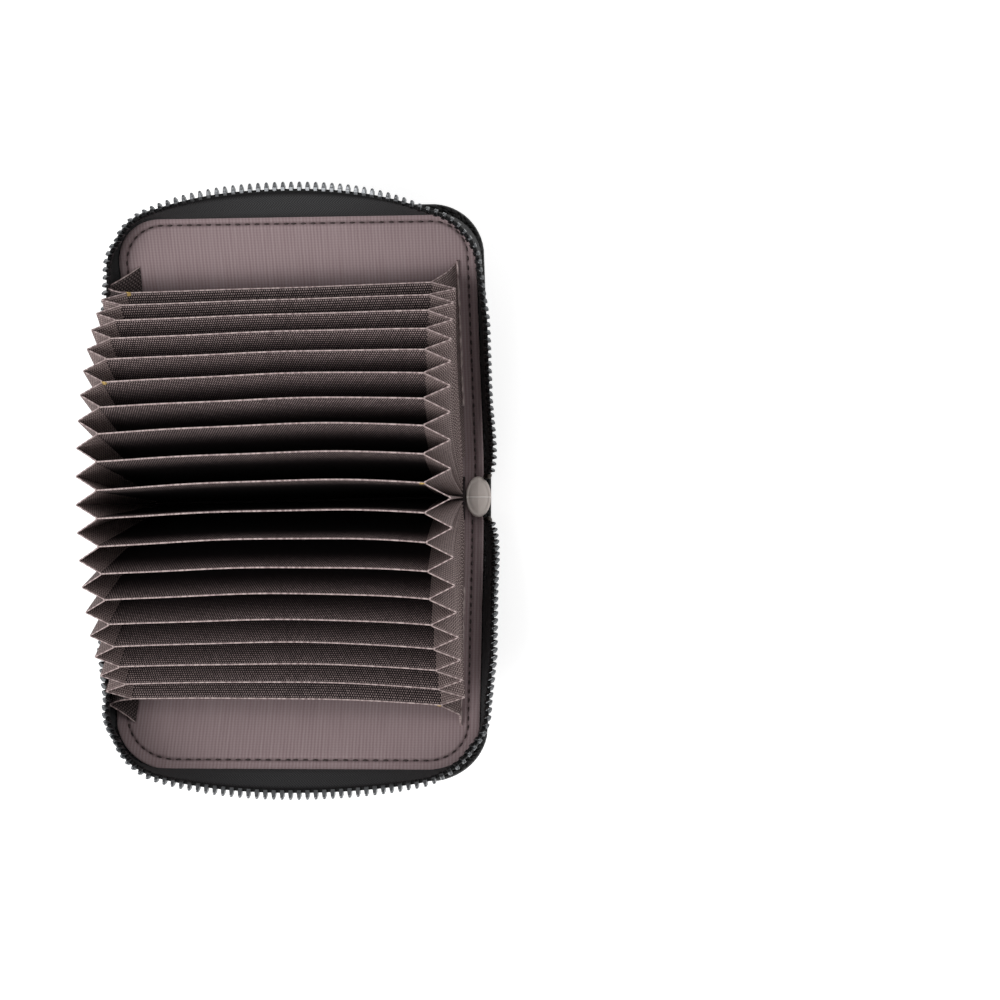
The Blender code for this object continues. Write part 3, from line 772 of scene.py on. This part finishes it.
def gusset_place(near_edge, far_edge, end, width, least, most, bias):
    """A folded strip between two edges. Across runs from 0 at one edge, by the fold, to 1 at the other.

    The fold stands out between the least and the most, and a bias above 1 draws it to the near edge.
    """

    def point(across, reach):
        near = near_edge(reach)
        far = far_edge(reach)
        gap = (far - near).length
        out = min(max(math.sqrt(max(width * width - gap * gap, 0)) / 2, least), most)
        out *= GUSSET_WAIST + (1 - GUSSET_WAIST) * (reach / LEAF_DEPTH) ** 5
        share = 1 - abs(2 * across - 1)
        fold = out * min(share * 1.02, 1)
        drop = min(GUSSET_DROP, out) * share * ease((reach - 20 * MM) / (40 * MM))
        return near.lerp(far, across ** bias) + Vector((end * fold, 0, -drop))

    def place(across, reach, z):
        step = 0.02
        ahead = point(min(across + step, 1), reach)
        behind = point(max(across - step, 0), reach)
        lower = point(across, max(reach - MM, 0))
        upper = point(across, reach + MM)
        through = (ahead - behind).cross(upper - lower).normalized()
        return point(across, reach) + through * (z * GUSSET_THICKNESS / 2)

    return place


def make_gusset(name, near_edge, far_edge, end, width, least=3 * MM, most=20 * MM, bias=1, material=None):
    along = spread(GUSSET_START, LEAF_DEPTH - 1.5 * MM, 9) + [LEAF_DEPTH - HEM, LEAF_DEPTH]
    bm = slab(GUSSET_ACROSS, along)
    lay_flat_map(bm, shape=lambda across, reach: (across * width, reach))
    mark_hem(bm)
    move_points(bm, gusset_place(near_edge, far_edge, end, width, least, most, bias))
    piece = finish_piece(name, bm, material or GUSSET_CLOTH, crease=40)
    piece.data.materials.append(LEAF_HEM)
    return piece


def make_gussets():
    """The pleated strips that close the ends of the pockets."""
    tuck = 0.3 * MM
    for place_name, end in ENDS.items():
        edge = end * (LEAF_WIDTH / 2 - tuck)
        node = f"{place_name}_gusset"
        for number in range(1, LEAF_COUNT):
            beyond = number + 1

            def near_edge(reach, number=number):
                return leaf_point(number, edge, reach, LEAF_THICKNESS / 2)

            def far_edge(reach, beyond=beyond):
                return leaf_point(beyond, edge, reach, -LEAF_THICKNESS / 2)

            off_middle = (number + 0.5 - MIDDLE) / (MIDDLE - 1)
            width = GUSSET_WIDTH[end] * (1 - GUSSET_TAKE_IN[end] * (1 - off_middle ** 2))
            name = f"{node}_{number:02d}_{beyond:02d}"
            piece = make_gusset(name, near_edge, far_edge, end, width)
            ends = [near_edge(LEAF_DEPTH * GUSSET_GRIP), far_edge(LEAF_DEPTH * GUSSET_GRIP)]
            tuple(ends[0])
            tuple(ends[1])
            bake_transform(piece)
            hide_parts(node)
        for which, side in SIDES.items():
            number = LEAF_COUNT if side > 0 else 1

            def leaf_edge(reach, number=number, side=side):
                return leaf_point(number, edge, reach, side * LEAF_THICKNESS / 2)

            seam = PANEL_SEAM if end > 0 else LEAF_OFFSET + edge

            def lining_edge(reach, side=side, seam=seam):
                return on_cover(side, seam, reach + 1 * MM, 1.7 * MM)

            name = f"{node}_{which}_cover"
            if end > 0:
                piece = make_gusset(name, leaf_edge, lining_edge, end, PANEL_WIDTH, 0.6 * MM, 2.5 * MM)
                make_panel_seam(which, side)
            else:
                piece = make_gusset(name, leaf_edge, lining_edge, end, GUSSET_WIDTH[end], 7.3 * MM, bias=2,
                                    material=SHADED_CLOTH)
            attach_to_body(piece, leaf_body(number))
            tuple(leaf_edge(LEAF_DEPTH))
            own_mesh(piece)
            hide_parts(node)


def make_panel_seam(which, side):
    """The turned edge of the outermost panel, which stands up where it is sewn to the lining."""
    bm = slab([-0.3 * MM, -0.15 * MM, 0.15 * MM, 0.3 * MM], spread(18 * MM, LEAF_DEPTH + 1.5 * MM, 14))
    lay_flat_map(bm)

    def place(x, reach, z):
        top = 2.9 * MM - abs(x) if z > 0 else 1.3 * MM
        return on_cover(side, PANEL_SEAM + 0.2 * MM + x, reach, top)

    move_points(bm, place)
    # The pale hem cloth paints a highlight along this ridge.
    piece = finish_piece(f"{which}_panel_seam", bm, LEAF_HEM)
    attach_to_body(piece, f"{which}_cover")


def make_tacks():
    """Gold tacks at the ends of four leaves' mouths, where the leaf and the gusset are sewn together."""
    shape = stitch_shape(1.7 * MM, 0.24 * MM)
    for number, end in ((19, -1), (14, -1), (10, 1), (1, 1)):
        x = end * (LEAF_WIDTH / 2 - 0.9 * MM)
        places = []
        for step in range(3):
            point = leaf_point(number, x, LEAF_DEPTH - (0.1 + 0.42 * step) * MM, -0.15 * MM)
            places.append(Matrix.Translation(point) @ Matrix.Rotation(math.radians(8 * step - 8), 4, "Z"))
        piece = strew(f"leaf_{number:02d}_tack", shape, places, GOLD_THREAD, crease=180)
        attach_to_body(piece, leaf_body(number))


def make_base():
    """The sewn foot of the accordion, a cloth block that all the leaves spring from."""
    half = LEAF_WIDTH / 2
    bm = slab(spread(-half - 7 * MM, half + 5 * MM, 16), spread(-6.6 * MM, 6.6 * MM, 14))
    lay_flat_map(bm)
    foot_radius = LEAF_PITCH / LEAF_TURN
    radius = foot_radius - 0.9 * MM
    centre = FOOT_HEIGHT - foot_radius

    def place(x, y, z):
        crown = centre + math.sqrt(max(radius * radius - y * y, 0))
        return Vector((LEAF_OFFSET + x, y, crown if z > 0 else 3.3 * MM))

    move_points(bm, place)
    # The leaf cloth's painted pocket shade keeps this whole block dark, as its flat place lies far below the
    # fade.
    attach(finish_piece("accordion_base", bm, LEAF_CLOTH), "spine", "accordion_binding")


def make_accordion():
    for number in range(1, LEAF_COUNT + 1):
        make_leaf(number)
    make_gussets()
    make_tacks()
    make_base()


# Zip


# The tape's root lies this far inside its foot and below it
ROOT_TUCK = 1 * MM
ROOT_DROP = 1.25 * MM

# Where the loose tape leaves the spine and the way it sets off, for its foot and its top edge
LOOSE_FOOT = {
    -1: ((56.4 * MM, 9.5 * MM, 10 * MM), (56.0 * MM, 11 * MM, 18 * MM)),
    1: ((53.2 * MM, 4.6 * MM, 3.5 * MM), (56.2 * MM, 8 * MM, 3.7 * MM)),
}
LOOSE_TOP = {
    -1: ((56.8 * MM, 1.4 * MM, 12 * MM), (56.9 * MM, 1.6 * MM, 23 * MM)),
    1: ((53.0 * MM, 4.4 * MM, 4.4 * MM), (58.6 * MM, 7.6 * MM, 7.0 * MM)),
}


def bezier(points, t):
    a, b, c, d = [Vector(p) for p in points]
    r = 1 - t
    return a * r ** 3 + b * 3 * r * r * t + c * 3 * r * t * t + d * t ** 3


def zip_runs(side, end):
    """The straight run up the short side and the run round the corner."""
    radius = TAPE_CORNERS[side, end]
    return FLAP_LINE - radius - FREE_TAPE[end], radius * math.pi / 2


def wall_height(lean):
    """The tape stands a little taller where it leans, so that the closed zip still meets."""
    return TAPE_HEIGHT / math.cos(min(abs(lean), math.radians(25)))


def covered_station(run, side, end):
    """Foot and top of the tape's wall on the cover, after a run from where the tape leaves the spine."""
    leans = WALL_LEANS[side, end]
    radius = TAPE_CORNERS[side, end]
    straight, bend = zip_runs(side, end)
    if run <= straight:
        foot = (TAPE_LINE, FREE_TAPE[end] + run)
        turn = 0.0
    elif run <= straight + bend:
        turn = (run - straight) / radius
        foot = (TAPE_LINE - radius + radius * math.cos(turn), FLAP_LINE - radius + radius * math.sin(turn))
    else:
        turn = math.pi / 2
        foot = (TAPE_LINE - radius - (run - straight - bend), FLAP_LINE)
    if run <= straight + bend:
        stops = (straight - CORNER_EASE, straight, straight + bend / 2, straight + bend)
        lean = leans[0]
        for i in range(3):
            share = (run - stops[i]) / (stops[i + 1] - stops[i])
            lean += (leans[i + 1] - leans[i]) * min(max(share, 0), 1)
    else:
        flare = 1 - (foot[0] / (TAPE_LINE - radius)) ** 2
        lean = leans[3] + (leans[4] - leans[3]) * flare
    lean = math.radians(lean)
    out = (math.cos(turn), math.sin(turn))
    wall = wall_height(lean)

    def at(height, inset=0.0):
        reach = height * math.sin(lean) - inset
        return (foot[0] + out[0] * reach, foot[1] + out[1] * reach, TAPE_BASE + height * math.cos(lean))

    root = at(0, ROOT_TUCK)
    return [(root[0], root[1], root[2] - ROOT_DROP), at(0), at(wall)]


def free_station(t, side, end):
    """Root, foot and top of the tape between the spine and the cover, where it isn't sewn down."""
    start = FREE_TAPE[end]
    back = start - 10 * MM
    lean = math.radians(WALL_LEANS[side, end][0])
    lean_out = wall_height(lean) * math.sin(lean)
    lean_up = wall_height(lean) * math.cos(lean)
    foot_end = on_cover(1, TAPE_LINE, start, TAPE_BASE)
    foot_back = on_cover(1, TAPE_LINE, back, TAPE_BASE)
    top_end = on_cover(1, TAPE_LINE + lean_out, start, TAPE_BASE + lean_up)
    top_back = on_cover(1, TAPE_LINE + lean_out, back, TAPE_BASE + 0.85 * lean_up)
    root_end = on_cover(1, TAPE_LINE - ROOT_TUCK, start, TAPE_BASE - ROOT_DROP)
    foot = bezier((*LOOSE_FOOT[end], foot_back, foot_end), t)
    top = bezier((*LOOSE_TOP[end], top_back, top_end), t)
    root = foot + (root_end - foot_end) * ease(t)
    return [root, foot, top]


def zip_path(side, end):
    """Samples along one quarter of the zip, from the spine to the middle of the long edge.

    Each sample holds the root, foot and top of the tape's wall. The second result is the number
    of the sample in the middle of the corner, where the piece on the short side ends.
    """
    samples = [free_station(i / 30, side, end) for i in range(30)]
    straight, bend = zip_runs(side, end)
    corner = straight + bend / 2
    last = straight + bend + TAPE_LINE - TAPE_CORNERS[side, end]
    runs = spread(0, corner, 60) + spread(corner, last, 64)[1:]
    middle = len(samples) + 60
    for run in runs:
        samples.append([on_cover(1, *point) for point in covered_station(run, side, end)])
    mirror = Vector((end, side, 1))
    return [[slide(side, Vector(point) * mirror) for point in sample] for sample in samples], middle


def tape_frame(path, number):
    """Tangent, wall and outward directions at a sample."""
    before = path[max(number - 1, 0)]
    after = path[min(number + 1, len(path) - 1)]
    tangent = ((after[1] + after[2]) - (before[1] + before[2])).normalized()
    wall = (path[number][2] - path[number][1]).normalized()
    through = tangent.cross(wall).normalized()
    return tangent, wall, through


# The rows run from the root at -1 by the foot at 0 to the top at 1
TAPE_ROWS = (-1, -0.5, 0, 0.15, 0.35, 0.55, 0.7, 0.82, 0.88, 0.93, 0.97, 1.0)

# Half the tape's thickness in millimetres, by row. It swells over the cord that holds the teeth.
CORD_SWELL = ((0.82, 0.22), (0.88, 0.4), (0.93, 0.6), (0.97, 0.5), (1.0, 0.3))


def make_tape(name, path, low, high):
    """A stretch of the tape along the path, from one of its samples to another."""
    runs = [0.0]
    for i in range(low, high):
        runs.append(runs[-1] + (path[i + 1][2] - path[i][2]).length)
    bm = slab(runs, TAPE_ROWS)
    lay_flat_map(bm, shape=lambda run, row: (run, row * TAPE_HEIGHT))

    def place(run, row, z):
        number = low + min(range(len(runs)), key=lambda i: abs(runs[i] - run))
        root, foot, top = path[number]
        through = tape_frame(path, number)[2]
        point = foot.lerp(root, -row) if row < 0 else foot.lerp(top, row)
        return point + through * (z * read_off(CORD_SWELL, row * MM))

    move_points(bm, place)
    return finish_piece(name, bm, TAPE)


def round_edges(bm, edges, offset, segments):
    bmesh.ops.bevel(bm, geom=edges, offset=offset, segments=segments, profile=0.5, affect="EDGES",
                    material=-1)


def tooth_shape():
    """One cast tooth: a block clamped on the cord, with a tapering nub above it."""
    bm = bmesh.new()
    bmesh.ops.create_cube(bm, size=1)
    bmesh.ops.scale(bm, vec=(1.2 * MM, 1.9 * MM, 1.1 * MM), verts=bm.verts)
    for rise, width, depth in ((0.3, 0.85, 0.82), (0.7, 0.8, 0.8), (0.35, 0.55, 0.6)):
        top = max(bm.faces, key=lambda face: face.calc_center_median().z)
        head = draw_out(bm, [top])
        bmesh.ops.translate(bm, vec=(0, 0, rise * MM), verts=head)
        bmesh.ops.scale(bm, vec=(width, depth, 1), verts=head)
        if top.is_valid:
            bmesh.ops.delete(bm, geom=[top], context="FACES_ONLY")
    round_edges(bm, bm.edges[:], 0.1 * MM, 1)
    return to_mesh("tooth", bm)


def clip_shape(length):
    """A strip of metal bent round the cord, open below."""
    bm = slab(spread(-length / 2, length / 2, 4), spread(0, 1, 16))

    def place(x, t, z):
        angle = math.radians(-145 + 290 * t)
        thick = z * 0.25 * MM * (1 - 0.4 * abs(2 * x / length) ** 4)
        return Vector((x, math.sin(angle) * (0.95 * MM + thick), math.cos(angle) * (1.25 * MM + thick)))

    move_points(bm, place)
    bmesh.ops.recalc_face_normals(bm, faces=bm.faces)
    return to_mesh("clip", bm)


def make_stop(name, node, place, length):
    attach(strew(name, clip_shape(length), [place], GUNMETAL), "spine", node)


def tooth_axes(path, number):
    """Directions along the chain, through the tooth and up it. The tooth tips out from the open tape."""
    tangent, wall, through = tape_frame(path, number)
    top = path[number][2]
    if through.x * top.x + through.y * top.y < 0:
        through = -through
    up = wall * math.cos(TOOTH_FLARE) + through * math.sin(TOOTH_FLARE)
    return tangent, up.cross(tangent), up


def top_run(path, last):
    """The run along the top of the tape up to a sample."""
    return sum((b[2] - a[2]).length for a, b in zip(path[:last], path[1:last + 1]))


def make_teeth(name, path, low, high, shape, carry, pitch):
    """Teeth a pitch apart along the top of the tape. Carry is the run left over from the piece before."""
    places = []
    wanted = carry
    run = 0.0
    for i in range(low, high):
        step = (path[i + 1][2] - path[i][2]).length
        while wanted <= run + step:
            share = (wanted - run) / step
            axes = tooth_axes(path, i)
            point = path[i][2].lerp(path[i + 1][2], share) + axes[2] * 0.35 * MM
            places.append(set_down(point, axes))
            wanted += pitch
        run += step
    piece = strew(name, shape, places, TEETH_METAL, crease=35)
    return piece, wanted - run


# Where the short side's tape leaves the spine and where it is fast on the cover, as y and z
FREE_SPANS = {-1: ((4 * MM, 9 * MM), (30 * MM, 21 * MM)), 1: ((5 * MM, 4 * MM), (28 * MM, 18 * MM))}

# The top stop is clamped on where the tape has come this far out, and the first tooth follows it
STOP_OUT = 6.9 * MM
STOP_TO_TOOTH = TOOTH_PITCH * 0.9


def make_zip():
    shape = tooth_shape()
    for which, side in SIDES.items():
        for place_name, end in ENDS.items():
            make_zip_quarter(which, side, place_name, end, shape)


def make_zip_quarter(which, side, place_name, end, shape):
    """The tape and teeth of one end of one cover: the piece on the short side, then the one on the flap."""
    path, middle = zip_path(side, end)
    last = len(path) - 1
    total = top_run(path, last)
    carry = TOOTH_PITCH * (0.25 if side > 0 else 0.75)
    if end > 0:
        number = next(i for i in range(last) if abs(path[i][1].y) > STOP_OUT)
        clip_place = set_down(path[number][2], tooth_axes(path, number))
        make_stop(f"{which}_zip_stop", f"top_stop_{which}", clip_place, 1.5 * MM)
        carry = top_run(path, number) + STOP_TO_TOOTH
    pitch = (total - carry) / (round((total - carry) / TOOTH_PITCH - 0.5) + 0.5)
    cover = f"{which}_cover"
    flap = f"{which}_zip_flap"
    zip_side = "tab_side" if end > 0 else "slider_side"
    tape_end = "zip_head_tape" if end > 0 else "zip_tail_tape"
    free_span = [(0, side * y, z) for y, z in FREE_SPANS[end]]
    flap_span = [tuple(on_cover(side, end * x, FLAP_LINE, TAPE_BASE)) for x in (50 * MM, 30 * MM)]
    stretches = (
        ("side", 0, middle, "spine", cover, free_span, (f"{which}_zip_tape_{zip_side}", tape_end),
         (f"{which}_zip_teeth_{zip_side}",)),
        ("long", middle, last, cover, flap, flap_span, (f"{flap}_tape",), (f"{flap}_teeth",)),
    )
    for part, low, high, inner, outer, span, tape_nodes, teeth_nodes in stretches:
        tape = make_tape(f"{which}_zip_tape_{place_name}_{part}", path, low, high)
        teeth, carry = make_teeth(f"{which}_zip_teeth_{place_name}_{part}", path, low, high, shape, carry,
                                  pitch)
        for piece, nodes in ((tape, tape_nodes), (teeth, teeth_nodes)):
            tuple(span[0])
            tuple(span[1])
            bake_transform(piece)
            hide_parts(*nodes)


def make_zip_tail():
    """The end of the closed zip below the slider: the two tapes side by side, turned in over the spine."""
    half = 8.6 * MM
    length = 10 * MM
    outer_face = -56.75 * MM
    turn_in = 2.2 * MM
    low_edge = 3.35 * MM
    high_edge = 12.4 * MM
    side_fall = 2.2 * MM
    half_thick = 0.2 * MM
    bm = slab(spread(-half, half, 24), spread(0, 1, 10))
    lay_flat_map(bm, shape=lambda y, t: (t * length, TAPE_HEIGHT - abs(y)))

    def place(y, t, z):
        narrow = 1 - 0.35 * ease(1 - t / 0.6)
        x = outer_face + turn_in * ease(1 - t / 0.35)
        top = high_edge - side_fall * ease(abs(y) / half)
        return Vector((x + z * half_thick, y * narrow, low_edge + (top - low_edge) * t))

    move_points(bm, place)
    attach(finish_piece("zip_tail_ribbon", bm, TAPE), "spine", "zip_tail_tape")
    places = []
    for i in range(4):
        side = 1 if i % 2 else -1
        point = Vector((-56.25 * MM, side * 1.2 * MM, (4.4 + 0.62 * i) * MM))
        places.append(set_down(point, ((0, 0, 1), (1, 0, 0), (0, -side, 0))))
    attach(strew("zip_tail_teeth", tooth_shape(), places, TEETH_METAL, crease=35), "spine", "zip_tail_chain")
    upright = ((0, 0, 1), (0, 1, 0), (-1, 0, 0))
    clip_place = set_down(Vector((-56.5 * MM, 0, 7 * MM)), upright, Vector((1, 1.5, 0.5)))
    make_stop("zip_bottom_stop", "bottom_stop", clip_place, 1.7 * MM)


def spin_round(bm, geom, steps):
    """Turns a profile round the Z axis into a closed surface."""
    bmesh.ops.spin(bm, geom=geom, cent=(0, 0, 0), axis=(0, 0, 1), angle=2 * math.pi, steps=steps,
                   use_merge=True)
    bmesh.ops.remove_doubles(bm, verts=bm.verts, dist=0.001 * MM)


def make_end_tab():
    """An oval of ribbon folded over the end of the zip, with a seam across it and a folded rim."""
    centre_x = 52.3 * MM
    centre_y = 0.4 * MM
    half_x = 3.9 * MM
    half_y = 6.3 * MM
    crown = 0.5 * MM
    low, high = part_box("zip_end_tab")
    height = high.z - low.z
    profile = [(0, 0), (0.92, 0), (1, 0.18), (1, 0.45), (0.95, 0.68), (0.86, 0.78), (0.8, 0.72), (0.72, 0.84),
               (0.45, 0.97), (0.15, 1.0), (0, 1.0)]
    bm = bmesh.new()
    verts = [bm.verts.new((r, 0, low.z + z * height)) for r, z in profile]
    edges = [bm.edges.new(pair) for pair in zip(verts, verts[1:])]
    spin_round(bm, verts + edges, 64)
    for vert in bm.verts:
        x, y, z = vert.co
        vert.co = (centre_x + x * half_x, centre_y + y * half_y, z + crown * (1 - abs(x)))
    attach(finish_piece("end_tab_ribbon", bm, TAB_CLOTH, crease=180), "spine", "zip_end_tab")


# Slider and pull


def wire_ring(name, half_width, half_height, straight, wire, material, place):
    """An oval ring of round wire, with its sides drawn out straight along Y."""
    bm = bmesh.new()
    upright = Matrix.Translation((1, 0, 0)) @ Matrix.Rotation(math.pi / 2, 4, "X")
    bmesh.ops.create_circle(bm, segments=12, radius=0.5, matrix=upright)
    spin_round(bm, bm.verts[:] + bm.edges[:], 48)
    for vert in bm.verts:
        turn = math.atan2(vert.co.y, vert.co.x)
        swell = 2 * (math.hypot(vert.co.x, vert.co.y) - 1)
        x = math.cos(turn) * (half_width + swell * wire)
        y = math.sin(turn) * (half_height + swell * wire)
        if abs(math.sin(turn)) > 0.01:
            y += math.copysign(straight / 2, y)
        vert.co = place @ Vector((x, y, 2 * vert.co.z * wire))
    return finish_piece(name, bm, material, crease=180)


def plate_with_holes(loops, half, rounding):
    """A flat plate between outlines, from z -half to half, with its edges rounded."""
    bm = bmesh.new()
    edges = []
    for loop in loops:
        verts = [bm.verts.new((x, y, -half)) for x, y in loop]
        edges += [bm.edges.new(pair) for pair in zip(verts, verts[1:] + verts[:1])]
    bmesh.ops.triangle_fill(bm, use_beauty=True, edges=edges)
    bmesh.ops.translate(bm, vec=(0, 0, 2 * half), verts=draw_out(bm, bm.faces[:]))
    rims = [edge for edge in bm.edges if edge.calc_face_angle(0) > 1]
    round_edges(bm, rims, rounding, 3)
    return bm


def oval(centre_y, half_x, half_y, start, end, count):
    angles = spread(math.radians(start), math.radians(end), count)
    return [(half_x * math.cos(a), centre_y + half_y * math.sin(a)) for a in angles]


def make_pull():
    """The tab of the pull: a tapering plate with a slot for the ring and a raised eye at its far end."""
    top_radius = 2.8 * MM
    eye_y = PULL_LENGTH - top_radius - 5.6 * MM
    outline = oval(0, top_radius, top_radius, 190, 350, 14) + oval(eye_y, 4.2 * MM, 5.2 * MM, -12, 192, 28)
    slot = oval(0, 1.75 * MM, 2.4 * MM, 0, 360, 24)[:-1]
    hole = oval(eye_y, 2.1 * MM, 3.1 * MM, 0, 360, 28)[:-1]
    bm = plate_with_holes([outline, slot, hole], PULL_THICKNESS / 2, 0.3 * MM)
    turn = Matrix.Rotation(math.radians(8), 4, "Z") @ Matrix.Rotation(math.radians(-10.6), 4, "X")
    place = Matrix.Translation((RING_X - 0.7 * MM, RING_WIDTH / 2, 6.6 * MM)) @ turn
    bmesh.ops.transform(bm, matrix=place, verts=bm.verts)
    attach(finish_piece("pull_tab_plate", bm, GUNMETAL, crease=35), "pull_tab", "pull_tab")
    for face in (-1, 1):
        rim_place = place @ Matrix.Translation((0, eye_y, face * (PULL_THICKNESS / 2 - 0.1 * MM)))
        rim = wire_ring(f"pull_tab_eye_{'front' if face > 0 else 'back'}", 2.75 * MM, 3.75 * MM, 0, 0.42 * MM,
                        GUNMETAL, rim_place)
        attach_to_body(rim, "pull_tab")


def make_ring():
    place = set_down(Vector((RING_X, 0, RING_TOP - RING_HEIGHT / 2)), ((0, 1, 0), (0, 0, 1), (1, 0, 0)))
    radius = RING_WIDTH / 2
    ring = wire_ring("pull_ring_wire", radius, radius, RING_HEIGHT - RING_WIDTH, WIRE / 2, GUNMETAL, place)
    attach(ring, "pull_ring", "pull_ring")


def make_crown():
    """The arched strap on the slider's face that the ring runs through."""
    bm = slab(spread(-1.1 * MM, 1.1 * MM, 4), spread(0, 1, 24))

    def middle(t):
        rise = 2.5 * MM * (1 - abs(2 * t - 1) ** 4)
        return Vector((SLIDER_FACE + 0.1 * MM - rise, 0, 9 * MM + 6.6 * MM * t))

    def place(y, t, z):
        along = (middle(min(t + 0.01, 1)) - middle(max(t - 0.01, 0))).normalized()
        out = Vector((-along.z, 0, along.x))
        thick = 0.4 * MM * (1 - 0.3 * (abs(y) / (1.1 * MM)) ** 2)
        return middle(t) + out * z * thick + Vector((0, y * (1 - 0.15 * math.sin(math.pi * t)), 0))

    move_points(bm, place)
    attach(finish_piece("slider_crown_strap", bm, GUNMETAL), "slider", "slider_crown")


# Carried-over solids


def dress_solids():
    """The spine's board and the slider's body keep their solids' shape, the metal one with rounded edges."""
    for name, material in (("spine_board", BOARD), ("slider_body", GUNMETAL)):
        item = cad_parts[name]
        item.data.materials.clear()
        item.data.materials.append(material)
        if name == "slider_body":
            weld = item.modifiers.new("weld", "WELD")
            weld.merge_threshold = 0.002 * MM
            rounding = item.modifiers.new("rounding", "BEVEL")
            rounding.width = 0.16 * MM
            rounding.segments = 2
            rounding.limit_method = "ANGLE"
            rounding.angle_limit = math.radians(40)


# Stage, light and camera


# The floor and the sky look brighter to the camera than the light that they give the wallet
FLOOR_GLOW = 0.6
SKY_GLOW = 0.45
SKY_STRENGTH = 0.55

# The camera's place, its turns in degrees, and its focal length in widths of the sensor
EYE = (91.8 * MM, -42.8 * MM, 519.14 * MM)
EYE_TURN = (("Z", -0.31), ("X", 4.668), ("Y", 3.665))
LENS_WIDTHS = 1.6759


def make_stage():
    """A white floor, which glows to the camera and in reflections."""
    bm = bmesh.new()
    bmesh.ops.create_grid(bm, x_segments=1, y_segments=1, size=3)
    bmesh.ops.translate(bm, vec=(0, 0, -0.02 * MM), verts=bm.verts)
    material, shader = new_material("white_floor")
    feed(material, shader, {"Base Color": (0.8, 0.8, 0.8, 1), "Roughness": 1.0, "Specular IOR Level": 0.0})
    rays = add_node(material, "ShaderNodeLightPath")
    seen = add_node(material, "ShaderNodeMath",
                    {0: rays.outputs["Is Camera Ray"], 1: rays.outputs["Is Glossy Ray"]}, operation="MAXIMUM")
    seen_through = add_node(material, "ShaderNodeMath", {0: seen, 1: rays.outputs["Is Transmission Ray"]},
                            operation="MAXIMUM")
    lift = add_node(material, "ShaderNodeMath", {0: seen_through, 1: FLOOR_GLOW}, operation="MULTIPLY")
    feed(material, shader, {"Emission Color": (1, 1, 1, 1), "Emission Strength": lift})
    floor = finish_piece("floor", bm, material)


def make_light():
    """An even white sky, brighter to the camera alone, with a key and a fill lamp."""
    world = bpy.data.worlds.new("studio")
    world.use_nodes = True
    rays = add_node(world, "ShaderNodeLightPath")
    glow = add_node(world, "ShaderNodeMath", {0: rays.outputs["Is Camera Ray"], 1: SKY_GLOW, 2: SKY_STRENGTH},
                    operation="MULTIPLY_ADD")
    feed(world, world.node_tree.nodes["Background"], {"Color": (1, 1, 1, 1), "Strength": glow})
    bpy.context.scene.world = world
    lamps = (("key", (-0.55, -0.6, 1.1), 0.9, 10.5), ("fill", (0.8, 0.6, 1.0), 1.0, 2.6))
    for name, place, size, energy in lamps:
        data = bpy.data.lights.new(name, "AREA")
        data.size = size
        data.shape = "DISK"
        data.energy = energy
        lamp = bpy.data.objects.new(name, data)
        lamp.location = place
        lamp.rotation_euler = (-Vector(place)).to_track_quat("-Z", "Y").to_euler()
        bpy.context.scene.collection.objects.link(lamp)


def make_camera():
    """The camera looks down from beside the wallet, which lies in the left half of the picture."""
    data = bpy.data.cameras.new("camera")
    data.sensor_width = 36
    data.lens = data.sensor_width * LENS_WIDTHS
    data.clip_start = 0.05
    data.clip_end = 10
    camera = bpy.data.objects.new("camera", data)
    place = Matrix.Translation(EYE)
    for axis, degrees in EYE_TURN:
        place = place @ Matrix.Rotation(math.radians(degrees), 4, axis)
    camera.matrix_world = place
    bpy.context.scene.collection.objects.link(camera)
    bpy.context.scene.camera = camera


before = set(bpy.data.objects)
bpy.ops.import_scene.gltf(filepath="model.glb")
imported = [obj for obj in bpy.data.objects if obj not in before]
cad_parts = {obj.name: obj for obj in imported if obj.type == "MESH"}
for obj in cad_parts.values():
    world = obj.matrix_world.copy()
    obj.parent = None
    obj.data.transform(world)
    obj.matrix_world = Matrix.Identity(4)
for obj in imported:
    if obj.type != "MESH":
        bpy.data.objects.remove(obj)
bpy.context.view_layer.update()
bpy.context.scene.view_settings.view_transform = "Standard"

LEATHER = pebbled_leather()
LININGS = {side: lining_cloth(f"ribbed_lining_{which}", STITCH_INSETS[side])
           for which, side in SIDES.items()}
LEAF_CLOTH = leaf_cloth()
LEAF_HEM = leaf_hem()
GUSSET_CLOTH = gusset_cloth("dotted_gusset_cloth", "#453738", "#796867", "#bcaaa5")
SHADED_CLOTH = gusset_cloth("dotted_gusset_cloth_in_shade", "#1f1818", "#352b2b", "#6e6260")
TAPE = zip_tape()
TEETH_METAL = plated_metal("nickel_plated_teeth", "#4a4b4d", "#7e8082", 0.3)
GUNMETAL = plated_metal("gunmetal_plating", "#3f3b38", "#5a5550", 0.28)
BLACK_THREAD = sewing_thread("black_thread", "#141414", "#2c2c2c")
BROWN_THREAD = sewing_thread("dark_brown_thread", "#231716", "#3e2e2c")
GOLD_THREAD = sewing_thread("gold_thread", "#9a7a3c", "#d8b870")
TAB_CLOTH = tab_cloth()
BOARD = grey_board()

make_covers()
make_accordion()
make_zip()
make_zip_tail()
make_end_tab()
make_crown()
make_ring()
make_pull()
dress_solids()
make_stage()
make_light()
make_camera()
